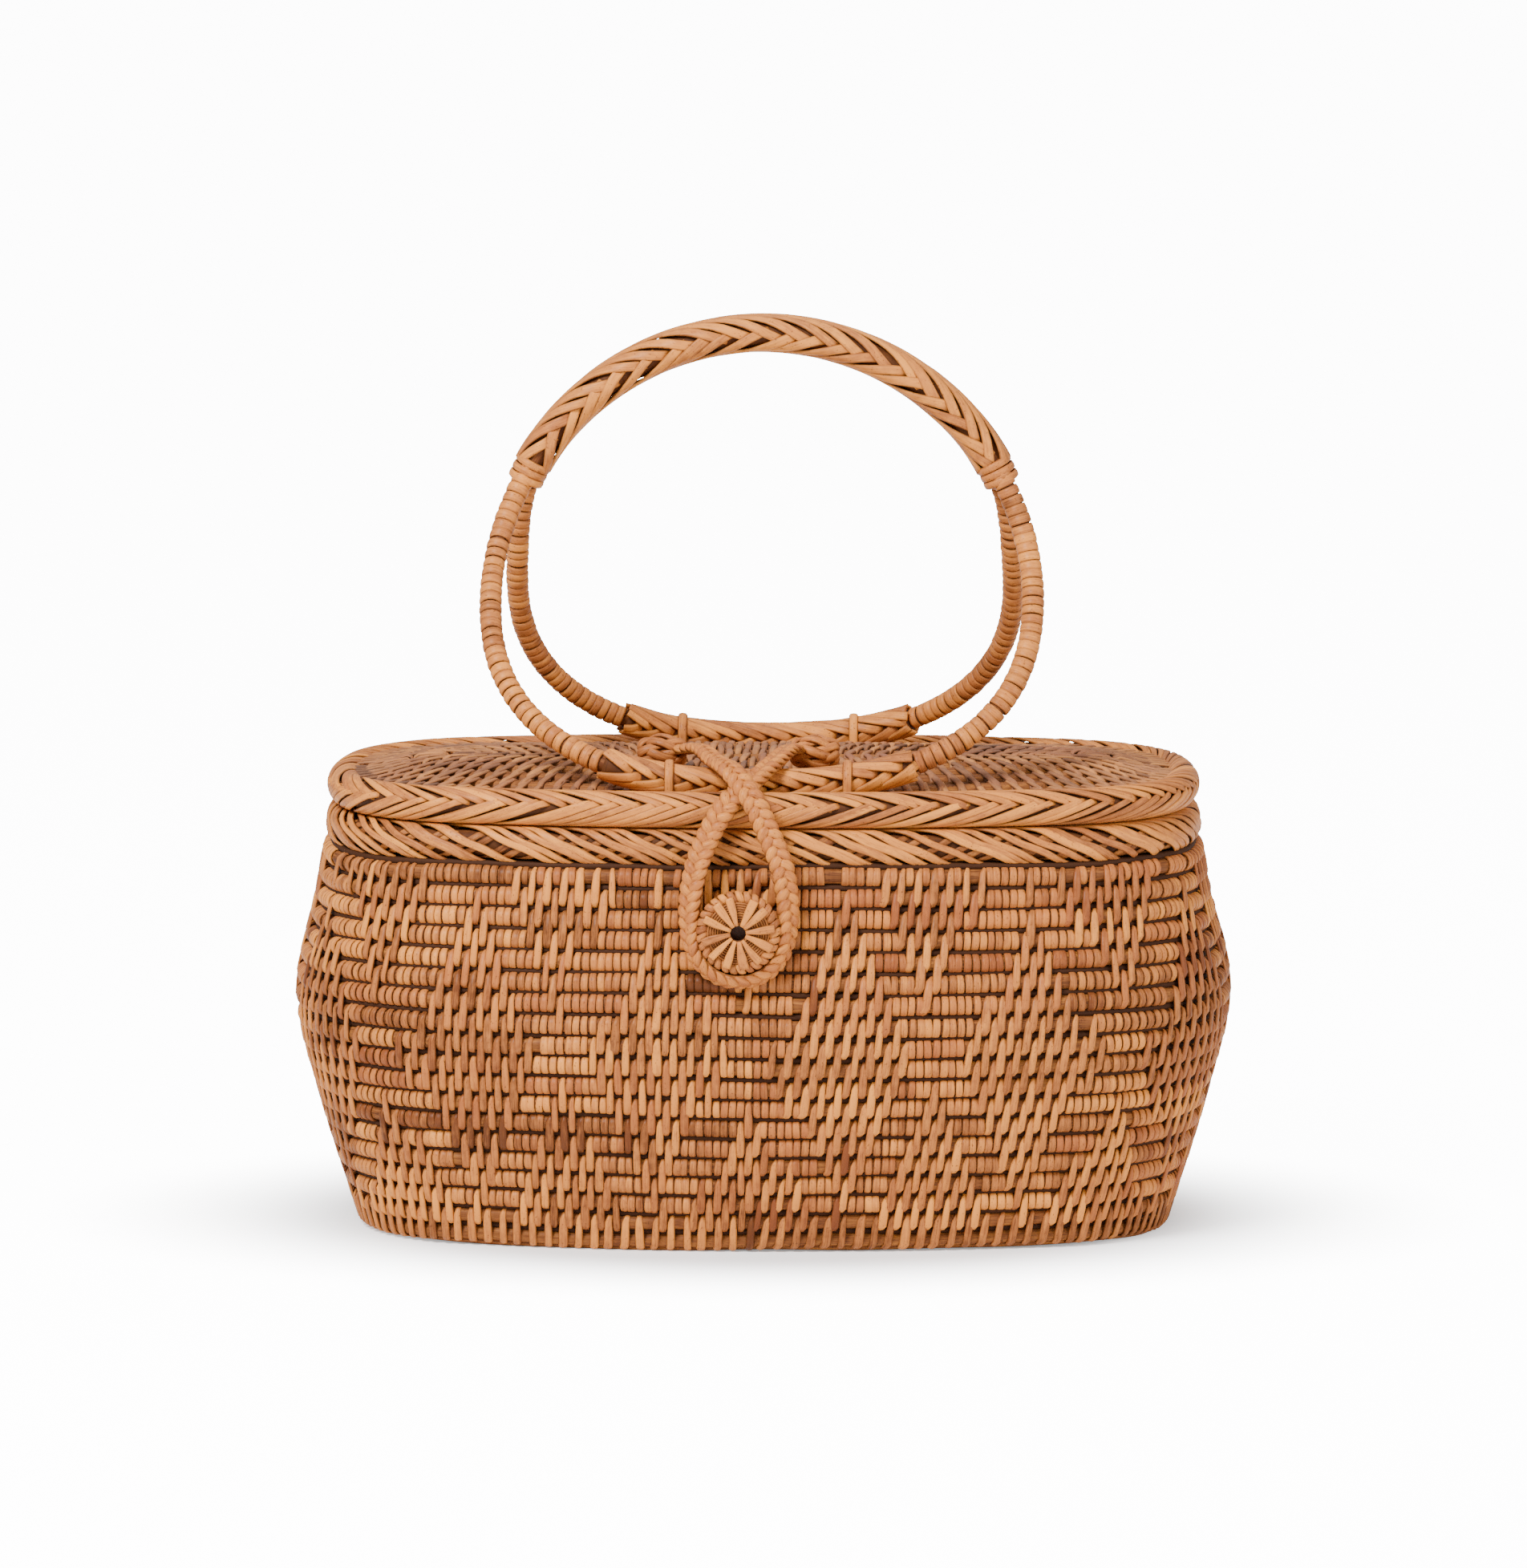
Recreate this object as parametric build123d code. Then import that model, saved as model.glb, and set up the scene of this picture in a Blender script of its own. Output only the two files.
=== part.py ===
from build123d import *
import math
import os

# An oval lidded basket of coiled rattan, in millimetres.
# The origin is the middle of the base, on the floor. +X runs along the length, the front is -Y, +Z is up.
# Every level of the basket has the mouth's outline, grown or shrunk by an offset.

# ---- Driving dimensions ----
# The mouth's outline: an oval of side, end and corner arcs
MOUTH_HALF_LENGTH = 130.0
MOUTH_HALF_DEPTH = 75.0
SIDE_RADIUS = 400.0
END_RADIUS = 140.0
CORNER_RADIUS = 50.0

# The wall and the base. The profile gives the outline's offset at each height.
WALL_TOP = 115.0
WALL_THICKNESS = 6.0
BASE_THICKNESS = 6.0
FLOOR_OFFSET = -12.0
BASE_EDGE_OFFSET = -14.0
HEEL = (-6.0, 8.5)
WALL_PROFILE = [HEEL, (3.0, 37.5), (9.8, 70.0), (3.6, 100.0), (1.0, WALL_TOP)]

# The basket's rim and its rod
RIM_WIDTH = 10.0
RIM_HEIGHT = 10.3
RIM_ROUNDING = 3.0
RIM_ROD_RADIUS = 2.0
ROD_CLEARANCE = 0.05

# The lid
LID_GAP = 0.35
LID_BORDER_RADIUS = 5.35
LID_PANEL_THICKNESS = 6.0
LID_PANEL_DROP = 4.0
LID_RISE = 5.5
LID_RISE_FOOT = -25.0
LID_RISE_TOP = -35.0
COLLAR_GAP = 1.5
COLLAR_THICKNESS = 4.0
COLLAR_HEIGHT = 8.0

# The hinge lashings
LASHING_X = 32.0
LASHING_WIDTH = 6.0
LASHING_THICKNESS = 1.4
LASHING_PLAY = 0.4
SLOT_PLAY = 0.35

# The handle: two hoops that meet in the grip and stand apart on the lid
HOOP_TOP_RADIUS = 80.0
HOOP_ROD_RADIUS = 2.5
HOOP_WRAP_RADIUS = 3.3
HOOP_SPACING = 8.4
HANDLE_HEIGHT = 128.0
FOOT_SPREAD = 113.0
FOOT_ROUNDING = 2.4
SPLAY_START = 28.0
SPLAY_RAMP = 47.0
REAR_NARROWING = 0.07
HOOP_SPANS = 13
ROD_END_GAP = 0.4

# The grip, its end bands and the foot braids
GRIP_SPANS = 4.5
FOOT_SPANS = 2.5
GRIP_DEPTH = 16.8
GRIP_HEIGHT = 11.4
GRIP_ROUNDING = 4.5
BAND_LENGTH = 6.0
BAND_GROWTH = 0.6
FOOT_BRAID_RADIUS = 4.7
TIE_WIDTH = 3.0
TIE_THICKNESS = 1.0
TIE_X = 26.0
TIE_PLAY = 0.75

# The button
BUTTON_X = -5.0
BUTTON_HEIGHT = 97.7
BUTTON_RADIUS = 12.3
BUTTON_DISC_THICKNESS = 3.2
BUTTON_FRONT = 11.0
BUTTON_EDGE_RADIUS = 1.9
BUTTON_HOLE_RADIUS = 2.25
STEM_RADIUS = 5.0
STAR_THICKNESS = 1.0
STAR_RADIUS = BUTTON_RADIUS - 2 * BUTTON_EDGE_RADIUS - 0.2
STAR_HUB_RADIUS = 3.4
PETALS = 12
PETAL_WIDTH = 1.7

# The closure strap
STRAP_RADIUS = 2.0
STRAND_SPACING = 8.0
LOOP_AXIS_FORWARD = 3.6
LOOP_AXIS_HEIGHT = 5.0
LOOP_SIDE_GAP = 0.6
LOOP_BOTTOM_GAP = 2.0
LOOP_WALL_GAP = 0.4
LOOP_CORNER_RADIUS = 14.0
LOOP_SHOULDER_RADIUS = 20.0
TAIL_GAP = 0.6
CROSSING_BACK = 11.3
STRAP_CLEARANCE = 0.4
CROSSING_RISE = 6.5
TAIL_RISE = 1.5
BORDER_CLEARANCE = 1.6
KNOTS_X = -6.5
KNOTS_Y = -34.0
KNOT_SPACING = 45.0
KNOT_SIZE = (16.0, 11.0, 10.0)
KNOT_ROUNDING = 4.0


# ---- Derived places ----
RIM_TOP = WALL_TOP + RIM_HEIGHT
LID_AXIS_Y = MOUTH_HALF_DEPTH - LID_BORDER_RADIUS
LID_AXIS_Z = RIM_TOP + LID_GAP + LID_BORDER_RADIUS
PANEL_BOTTOM = LID_AXIS_Z - LID_PANEL_DROP
PANEL_TOP = PANEL_BOTTOM + LID_PANEL_THICKNESS
FOOT_Z = PANEL_TOP + HOOP_WRAP_RADIUS + 0.2
SECTION_PLANE = Plane(origin=(0, -MOUTH_HALF_DEPTH, 0), x_dir=(0, -1, 0), z_dir=(-1, 0, 0))


# ---- The oval outline ----
def oval_joints(offset):
    """Where one quarter's side, corner and end arcs meet, and the corner arc's middle."""
    side_y = MOUTH_HALF_DEPTH - SIDE_RADIUS
    end_x = MOUTH_HALF_LENGTH - END_RADIUS
    side_centre = Vector(0, side_y)
    end_centre = Vector(end_x, 0)
    reach_side = SIDE_RADIUS - CORNER_RADIUS
    reach_end = END_RADIUS - CORNER_RADIUS
    gap = math.hypot(end_x, side_y)
    along = (reach_side**2 - reach_end**2 + gap**2) / (2 * gap)
    across = math.sqrt(reach_side**2 - along**2)
    towards = (end_centre - side_centre).normalized()
    corner_centre = side_centre + towards * along + Vector(-towards.Y, towards.X) * -across
    from_side = (corner_centre - side_centre).normalized()
    from_end = (corner_centre - end_centre).normalized()
    between = (from_side + from_end).normalized()
    return (
        side_centre + from_side * (SIDE_RADIUS + offset),
        corner_centre + between * (CORNER_RADIUS + offset),
        end_centre + from_end * (END_RADIUS + offset),
    )


def oval_wire(offset=0.0, height=0.0):
    """The closed outline, starting in the middle of the front side."""
    half_length = MOUTH_HALF_LENGTH + offset
    half_depth = MOUTH_HALF_DEPTH + offset
    side, corner, end = oval_joints(offset)
    side_y = MOUTH_HALF_DEPTH - SIDE_RADIUS
    radius = SIDE_RADIUS + offset
    half_angle = math.atan2(side.X, side.Y - side_y) / 2
    near = Vector(radius * math.sin(half_angle), side_y + radius * math.cos(half_angle))

    def at(point, x_sign, y_sign):
        return (x_sign * point.X, y_sign * point.Y, height)

    front = (0, -half_depth, height)
    arcs = [
        (front, at(near, -1, -1), at(side, -1, -1)),
        (at(side, -1, -1), at(corner, -1, -1), at(end, -1, -1)),
        (at(end, -1, -1), (-half_length, 0, height), at(end, -1, 1)),
        (at(end, -1, 1), at(corner, -1, 1), at(side, -1, 1)),
        (at(side, -1, 1), (0, half_depth, height), at(side, 1, 1)),
        (at(side, 1, 1), at(corner, 1, 1), at(end, 1, 1)),
        (at(end, 1, 1), (half_length, 0, height), at(end, 1, -1)),
        (at(end, 1, -1), at(corner, 1, -1), at(side, 1, -1)),
        (at(side, 1, -1), at(near, 1, -1), front),
    ]
    return Wire([ThreePointArc(*arc).edge() for arc in arcs])


def oval_plate(offset, bottom, thickness):
    return extrude(make_face(oval_wire(offset, bottom).edges()), amount=thickness, dir=(0, 0, 1))


def round_the_oval(section):
    """Sweep a section, drawn as (offset, height), round the outline."""
    return sweep(SECTION_PLANE * section, path=oval_wire())


def side_sag(x, offset):
    """How far the outline's long side falls back from its middle at a place along it."""
    radius = SIDE_RADIUS + offset
    return radius - math.sqrt(radius**2 - x**2)


# ---- The basket ----
def wall_curve(offset):
    return Spline(*[(grown + offset, height) for grown, height in WALL_PROFILE])


def wall_offset_at(height):
    """The wall's outer offset at a height, by halving along its curve."""
    curve = wall_curve(0)
    low, high = 0.0, 1.0
    for _ in range(40):
        middle = (low + high) / 2
        if (curve @ middle).Y < height:
            low = middle
        else:
            high = middle
    return (curve @ low).X


def make_side_wall():
    outer = wall_curve(0)
    inner = wall_curve(-WALL_THICKNESS)
    heel = TangentArc(HEEL, (FLOOR_OFFSET, 0), tangent=-(outer % 0))
    base_corner = (BASE_EDGE_OFFSET, BASE_THICKNESS)
    outline = [
        outer,
        inner,
        heel,
        Line(outer @ 1, inner @ 1),
        Line(inner @ 0, base_corner),
        Line(base_corner, (BASE_EDGE_OFFSET, 0)),
        Line((BASE_EDGE_OFFSET, 0), (FLOOR_OFFSET, 0)),
    ]
    return round_the_oval(make_face([curve.edge() for curve in outline]))


def make_base_panel():
    return oval_plate(BASE_EDGE_OFFSET, 0, BASE_THICKNESS)


def rim_centre():
    return Pos(-RIM_WIDTH / 2, WALL_TOP + RIM_HEIGHT / 2)


def make_top_border():
    section = RectangleRounded(RIM_WIDTH, RIM_HEIGHT, RIM_ROUNDING) - Circle(RIM_ROD_RADIUS + ROD_CLEARANCE)
    return round_the_oval(rim_centre() * section)


def make_mouth_hoop():
    return round_the_oval(rim_centre() * Circle(RIM_ROD_RADIUS))


# ---- The lid ----
def lid_border_centre():
    return Pos(-LID_BORDER_RADIUS, LID_AXIS_Z)


def make_lid_border():
    return round_the_oval(
        lid_border_centre() * (Circle(LID_BORDER_RADIUS) - Circle(RIM_ROD_RADIUS + ROD_CLEARANCE))
    )


def make_lid_hoop():
    return round_the_oval(lid_border_centre() * Circle(RIM_ROD_RADIUS))


def lid_rise(bottom):
    """The swell between the handle's feet, from its wide foot up to its flat top."""
    foot = make_face(oval_wire(LID_RISE_FOOT, bottom).edges())
    top = make_face(oval_wire(LID_RISE_TOP, bottom + LID_RISE).edges())
    return loft([foot, top], ruled=True)


def make_lid_panel():
    """The panel swells in the middle, and its edge follows the round border that it meets."""
    plate = oval_plate(-LID_BORDER_RADIUS - 1, PANEL_BOTTOM, LID_PANEL_THICKNESS)
    swollen = plate + lid_rise(PANEL_TOP) - lid_rise(PANEL_BOTTOM)
    return swollen - round_the_oval(lid_border_centre() * Circle(LID_BORDER_RADIUS))


def make_lid_collar():
    offset = -RIM_WIDTH - COLLAR_GAP - COLLAR_THICKNESS / 2
    height = PANEL_BOTTOM - COLLAR_HEIGHT / 2
    return round_the_oval(Pos(offset, height) * Rectangle(COLLAR_THICKNESS, COLLAR_HEIGHT))


# ---- The hinge lashings ----
LASHING_INNER = (
    max(LID_BORDER_RADIUS, RIM_WIDTH - LID_BORDER_RADIUS)
    + side_sag(LASHING_X + LASHING_WIDTH / 2, -LID_BORDER_RADIUS)
    + LASHING_PLAY
)
LASHING_DROP = LID_AXIS_Z - WALL_TOP
HINGE_PLANE = Plane(origin=(0, LID_AXIS_Y, LID_AXIS_Z), x_dir=(0, 1, 0), z_dir=(1, 0, 0))


def staple(plane, radius, drop, thickness, width):
    """A strip bent over a round top, with straight legs and a bar below, centred on a plane."""
    outside = radius + thickness
    outer = Circle(outside) + Pos(0, -(drop + thickness) / 2) * Rectangle(2 * outside, drop + thickness)
    inner = Circle(radius) + Pos(0, -drop / 2) * Rectangle(2 * radius, drop)
    return extrude(plane * (outer - inner), amount=width / 2, both=True)


def make_lashing(x):
    plane = HINGE_PLANE.offset(x)
    return staple(plane, LASHING_INNER, LASHING_DROP, LASHING_THICKNESS, LASHING_WIDTH)


def lashing_slot(x):
    """The room that a lashing needs in the lid while the lid turns."""
    inner = LASHING_INNER - SLOT_PLAY
    leg = LASHING_INNER + LASHING_THICKNESS + SLOT_PLAY
    outer = math.hypot(leg, LID_PANEL_DROP)
    ring = Circle(outer) - Circle(inner)
    notch = Pos(-(inner + leg) / 2, -LASHING_DROP / 2) * Rectangle(leg - inner, LASHING_DROP)
    width = LASHING_WIDTH / 2 + SLOT_PLAY
    return extrude(HINGE_PLANE.offset(x) * (ring + notch), amount=width, both=True)


# ---- The handle's curve ----
def splay_angle():
    """The slope of the hoops' lower part, which brings the feet to their spread at the lid."""
    spread = (FOOT_SPREAD - HOOP_SPACING) / 2
    low, high = 0.01, 1.4
    for _ in range(50):
        angle = (low + high) / 2
        straight = HANDLE_HEIGHT - SPLAY_START - SPLAY_RAMP * math.sin(angle) / angle
        reach = SPLAY_RAMP * (1 - math.cos(angle)) / angle + straight * math.tan(angle)
        if reach < spread:
            low = angle
        else:
            high = angle
    return low


SPLAY_ANGLE = splay_angle()
SPLAY_STRAIGHT = (
    HANDLE_HEIGHT - SPLAY_START - SPLAY_RAMP * math.sin(SPLAY_ANGLE) / SPLAY_ANGLE
) / math.cos(SPLAY_ANGLE)
HOOP_HEIGHT = SPLAY_START + SPLAY_RAMP + SPLAY_STRAIGHT


def splayed(down):
    """(forward, drop) of the hoop a distance down its own surface from the top."""
    bent = min(max(down - SPLAY_START, 0), SPLAY_RAMP)
    angle = SPLAY_ANGLE * bent / SPLAY_RAMP
    forward, drop = 0.0, min(down, SPLAY_START)
    if angle > 0:
        radius = SPLAY_RAMP / SPLAY_ANGLE
        forward += radius * (1 - math.cos(angle))
        drop += radius * math.sin(angle)
    rest = max(down - SPLAY_START - SPLAY_RAMP, 0)
    return forward + rest * math.sin(SPLAY_ANGLE), drop + rest * math.cos(SPLAY_ANGLE)


def half_outline(steps=400):
    """One hoop's right half as (aside, down): a round top, then a squarer bottom."""
    points = []
    for step in range(steps):
        turn = math.pi / 2 * step / steps
        points.append((HOOP_TOP_RADIUS * math.sin(turn), HOOP_TOP_RADIUS * (1 - math.cos(turn))))
    power = 2 / FOOT_ROUNDING
    for step in range(steps + 1):
        turn = math.pi / 2 * step / steps
        aside = HOOP_TOP_RADIUS * max(math.cos(turn), 0) ** power
        below = (HOOP_HEIGHT - HOOP_TOP_RADIUS) * math.sin(turn) ** power
        points.append((aside, HOOP_TOP_RADIUS + below))
    return points


def evenly(points, count):
    """A line's points at equal distances along it."""
    lengths = [0.0]
    for start, end in zip(points, points[1:]):
        lengths.append(lengths[-1] + (end - start).length)
    spaced, index = [], 0
    for number in range(count + 1):
        target = lengths[-1] * number / count
        while index < len(points) - 2 and lengths[index + 1] < target:
            index += 1
        span = lengths[index + 1] - lengths[index]
        share = (target - lengths[index]) / span if span else 0
        spaced.append(points[index] + (points[index + 1] - points[index]) * share)
    return spaced


def hoop_points(sign, narrowing):
    """The hoop's corners from its foot, up its right side, over the top and down its left side."""
    half = []
    for aside, down in half_outline():
        forward, drop = splayed(down)
        share = min(max((down - SPLAY_START) / SPLAY_RAMP, 0), 1)
        width = 1 - narrowing * share**2 * (3 - 2 * share)
        half.append(Vector(aside * width, sign * (HOOP_SPACING / 2 + forward), FOOT_Z + HANDLE_HEIGHT - drop))
    right = evenly(half, HOOP_SPANS)
    right[-1] = right[-1] + Vector(ROD_END_GAP / 2, 0, 0)
    left = [Vector(-point.X, point.Y, point.Z) for point in right]
    return right[::-1] + left[1:]


def soft_radii(points):
    """The largest arcs that the runs beside each inner corner allow."""
    radii = []
    for before, here, after in zip(points, points[1:], points[2:]):
        arrive, leave = here - before, after - here
        turn = math.radians(arrive.get_angle(leave))
        radii.append(0.45 * min(arrive.length, leave.length) / math.tan(turn / 2))
    return radii


def tube(points, radii, section, x_dir=None):
    """Straight runs joined by arcs, with one section."""
    path = FilletPolyline(*points, radius=radii)
    plane = Plane(origin=path @ 0, x_dir=x_dir, z_dir=path % 0)
    return sweep(plane * section, path=path)


def part_tube(points, start, end, section, x_dir=None):
    """A tube along part of a longer line, from the middle of one run to the middle of another."""
    radii = soft_radii(points)
    first, last = math.floor(start), math.floor(end)
    opening = (points[first] + points[first + 1]) / 2
    closing = (points[last] + points[last + 1]) / 2
    corners = [opening] + points[first + 1:last + 1] + [closing]
    return tube(corners, radii[first:last], section, x_dir)


FRONT_HOOP = hoop_points(-1, 0)
REAR_HOOP = hoop_points(1, REAR_NARROWING)
GRIP_LINE = [(front + rear) / 2 for front, rear in zip(FRONT_HOOP, REAR_HOOP)]
GRIP_ENDS = {"right": HOOP_SPANS - GRIP_SPANS, "left": HOOP_SPANS + GRIP_SPANS}


# ---- The handle's pieces ----
def make_hoop(points):
    return tube(points, soft_radii(points), Circle(HOOP_ROD_RADIUS))


def make_wrap(points, start, end):
    section = Circle(HOOP_WRAP_RADIUS) - Circle(HOOP_ROD_RADIUS + ROD_CLEARANCE)
    return part_tube(points, start, end, section)


def make_grip_braid():
    section = RectangleRounded(GRIP_DEPTH, GRIP_HEIGHT, GRIP_ROUNDING)
    return part_tube(GRIP_LINE, GRIP_ENDS["right"], GRIP_ENDS["left"], section, x_dir=(0, 1, 0))


def make_grip_band(place):
    low, high = GRIP_LINE[math.floor(place)], GRIP_LINE[math.floor(place) + 1]
    plane = Plane(origin=(low + high) / 2, x_dir=(0, 1, 0), z_dir=high - low)
    section = RectangleRounded(
        GRIP_DEPTH + 2 * BAND_GROWTH, GRIP_HEIGHT + 2 * BAND_GROWTH, GRIP_ROUNDING + BAND_GROWTH
    )
    return extrude(plane * section, amount=BAND_LENGTH / 2, both=True)


def make_foot_braid(points):
    """The sleeve runs along the hoop's bottom, past the place where the rod's ends meet."""
    reach = math.floor(FOOT_SPANS) + 1
    centre = Vector(0, points[0].Y, points[0].Z)
    bottom = points[reach:0:-1] + [centre] + points[-2:-2 - reach:-1]
    return part_tube(bottom, 0.5, 2 * reach - 0.5, Circle(FOOT_BRAID_RADIUS))


def make_foot_ties(points):
    """Two strips, each over the foot and down through the lid."""
    outer = next(index for index, point in enumerate(points) if point.X > TIE_X)
    before, after = points[outer - 1], points[outer]
    place = before + (after - before) * ((TIE_X - before.X) / (after.X - before.X))
    plane = Plane(origin=(0, place.Y, place.Z), x_dir=(0, 1, 0), z_dir=(1, 0, 0))
    drop = place.Z - PANEL_BOTTOM
    return [
        staple(plane.offset(x), FOOT_BRAID_RADIUS + TIE_PLAY, drop, TIE_THICKNESS, TIE_WIDTH)
        for x in (-TIE_X, TIE_X)
    ]


# ---- The button ----
BUTTON_WALL_Y = -MOUTH_HALF_DEPTH - wall_offset_at(BUTTON_HEIGHT) + side_sag(BUTTON_X, 0)
BUTTON_PLANE = Plane(origin=(BUTTON_X, BUTTON_WALL_Y, BUTTON_HEIGHT), x_dir=(1, 0, 0), z_dir=(0, -1, 0))
DISC_FRONT = BUTTON_FRONT - STAR_THICKNESS
DISC_BACK = DISC_FRONT - BUTTON_DISC_THICKNESS
EDGE_RING_RADIUS = BUTTON_RADIUS - BUTTON_EDGE_RADIUS


def on_button(face, start, end):
    return extrude(BUTTON_PLANE.offset(start) * face, amount=end - start)


def make_button_edge():
    ring = Torus(EDGE_RING_RADIUS, BUTTON_EDGE_RADIUS)
    return BUTTON_PLANE.offset((DISC_FRONT + DISC_BACK) / 2) * ring


def make_button_disc():
    return on_button(Circle(EDGE_RING_RADIUS) - Circle(BUTTON_HOLE_RADIUS), DISC_BACK, DISC_FRONT)


def make_button_star():
    """Petals round a hub, open in the middle."""
    length = STAR_RADIUS - BUTTON_HOLE_RADIUS
    petal = Pos(BUTTON_HOLE_RADIUS + length / 2, 0) * SlotOverall(length, PETAL_WIDTH)
    face = Circle(STAR_HUB_RADIUS)
    for number in range(PETALS):
        face += Rot(0, 0, 360 * number / PETALS) * petal
    return on_button(face - Circle(BUTTON_HOLE_RADIUS), DISC_FRONT, BUTTON_FRONT)


def make_button_stem():
    """It stands in a pocket half way into the wall."""
    return on_button(Circle(STEM_RADIUS), -WALL_THICKNESS / 2, DISC_BACK)


# ---- The closure strap ----
LOOP_AXIS = Vector(BUTTON_X, -MOUTH_HALF_DEPTH - LOOP_AXIS_FORWARD, LID_AXIS_Z + LOOP_AXIS_HEIGHT)
LOOP_LOW_Z = BUTTON_HEIGHT - BUTTON_RADIUS - LOOP_BOTTOM_GAP - STRAP_RADIUS
LOOP_LOW_Y = -MOUTH_HALF_DEPTH - wall_offset_at(LOOP_LOW_Z - STRAP_RADIUS) - STRAP_RADIUS - LOOP_WALL_GAP
LOOP_HALF_WIDTH = BUTTON_RADIUS + LOOP_SIDE_GAP + STRAP_RADIUS


def on_loop(aside, share):
    """A place in the loop's own leaning plane: 0 on the axis, 1 at the bottom."""
    return Vector(
        BUTTON_X + aside,
        LOOP_AXIS.Y + (LOOP_LOW_Y - LOOP_AXIS.Y) * share,
        LOOP_AXIS.Z + (LOOP_LOW_Z - LOOP_AXIS.Z) * share,
    )


def make_closure_loop():
    """Two round ends on the axis, and the strand down, round the button and up again."""
    shoulder = (LOOP_AXIS.Z - BUTTON_HEIGHT - BUTTON_RADIUS / 4) / (LOOP_AXIS.Z - LOOP_LOW_Z)
    half = [
        on_loop(STRAND_SPACING / 2, 0),
        on_loop(LOOP_HALF_WIDTH, shoulder),
        on_loop(LOOP_HALF_WIDTH, 1),
    ]
    other = [Vector(2 * BUTTON_X - point.X, point.Y, point.Z) for point in reversed(half)]
    radii = [LOOP_SHOULDER_RADIUS, LOOP_CORNER_RADIUS, LOOP_CORNER_RADIUS, LOOP_SHOULDER_RADIUS]
    strand = tube(half + other, radii, Circle(STRAP_RADIUS))
    for end in (half[0], other[-1]):
        strand += Pos(end.X, end.Y, end.Z) * Sphere(STRAP_RADIUS)
    return strand


def knot_centre(side):
    return Vector(KNOTS_X + side * KNOT_SPACING / 2, KNOTS_Y, PANEL_TOP + LID_RISE + KNOT_SIZE[2] / 2)


def make_knot(side):
    place = knot_centre(side)
    return Pos(place.X, place.Y, place.Z) * fillet(Box(*KNOT_SIZE).edges(), KNOT_ROUNDING)


def make_strap_tail(side, rise):
    """From its knot over the foot and the lid's border, where the strands cross, to the loop's axis."""
    knot = knot_centre(side)
    crossing_y = LOOP_AXIS.Y + CROSSING_BACK
    border_reach = LID_BORDER_RADIUS + STRAP_RADIUS + BORDER_CLEARANCE
    foot_y = -FOOT_SPREAD / 2 - STRAP_RADIUS
    foot_z = FOOT_Z + FOOT_BRAID_RADIUS + STRAP_RADIUS + 2 * STRAP_CLEARANCE
    foot_x = BUTTON_X + (knot.X - BUTTON_X) * (foot_y - crossing_y) / (knot.Y - crossing_y)
    points = [
        knot,
        Vector(foot_x, foot_y, foot_z + rise / 3),
        Vector(BUTTON_X, crossing_y, LID_AXIS_Z + border_reach + rise),
        LOOP_AXIS + Vector(-side * STRAND_SPACING / 2, STRAP_RADIUS + TAIL_GAP, TAIL_RISE),
    ]
    return tube(points, soft_radii(points), Circle(STRAP_RADIUS))


# ---- All the pieces, fitted to each other ----
def make_parts():
    lashings = {"left": make_lashing(-LASHING_X), "right": make_lashing(LASHING_X)}
    slots = lashing_slot(-LASHING_X) + lashing_slot(LASHING_X)
    front_hoop, rear_hoop = make_hoop(FRONT_HOOP), make_hoop(REAR_HOOP)
    front_ties, rear_ties = make_foot_ties(FRONT_HOOP), make_foot_ties(REAR_HOOP)
    bands = {side: make_grip_band(place) for side, place in GRIP_ENDS.items()}
    panel = make_lid_panel()
    knots = {"left": make_knot(-1), "right": make_knot(1)}
    edge = make_button_edge()
    stem = make_button_stem()

    parts = {
        "base_panel": make_base_panel(),
        "side_wall": make_side_wall() - lashings["left"] - lashings["right"] - stem,
        "top_border": make_top_border(),
        "mouth_hoop": make_mouth_hoop(),
        "button_edge": edge,
        "button_disc": make_button_disc() - edge,
        "button_star": make_button_star(),
        "button_stem": stem,
        "hinge_lashing_left": lashings["left"],
        "hinge_lashing_right": lashings["right"],
        "lid_border": make_lid_border(),
        "lid_hoop": make_lid_hoop(),
        "front_hoop": front_hoop,
        "rear_hoop": rear_hoop,
        "grip_braid": make_grip_braid() - front_hoop - rear_hoop - bands["left"] - bands["right"],
        "front_foot_braid": make_foot_braid(FRONT_HOOP) - front_hoop - panel,
        "rear_foot_braid": make_foot_braid(REAR_HOOP) - rear_hoop - panel,
        "closure_loop": make_closure_loop(),
        "strap_tail_left": make_strap_tail(-1, CROSSING_RISE) - knots["left"],
        "strap_tail_right": make_strap_tail(1, 0) - knots["right"],
        "front_foot_ties": Compound(front_ties),
        "rear_foot_ties": Compound(rear_ties),
    }
    collar = make_lid_collar()
    for cutter in [slots] + front_ties + rear_ties:
        panel -= cutter
        collar -= cutter
    parts["lid_panel"] = panel
    parts["lid_collar"] = collar
    legs = {
        "right": (FOOT_SPANS, GRIP_ENDS["right"]),
        "left": (GRIP_ENDS["left"], 2 * HOOP_SPANS - FOOT_SPANS),
    }
    for side, (start, end) in legs.items():
        parts["front_hoop_wrap_" + side] = make_wrap(FRONT_HOOP, start, end) - bands[side]
        parts["rear_hoop_wrap_" + side] = make_wrap(REAR_HOOP, start, end) - bands[side]
        parts["grip_band_" + side] = bands[side] - front_hoop - rear_hoop
        parts["knot_" + side] = knots[side]
    return parts


os.makedirs("parts", exist_ok=True)
for name, shape in make_parts().items():
    export_step(shape, "parts/" + name + ".step")
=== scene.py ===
import math

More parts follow.
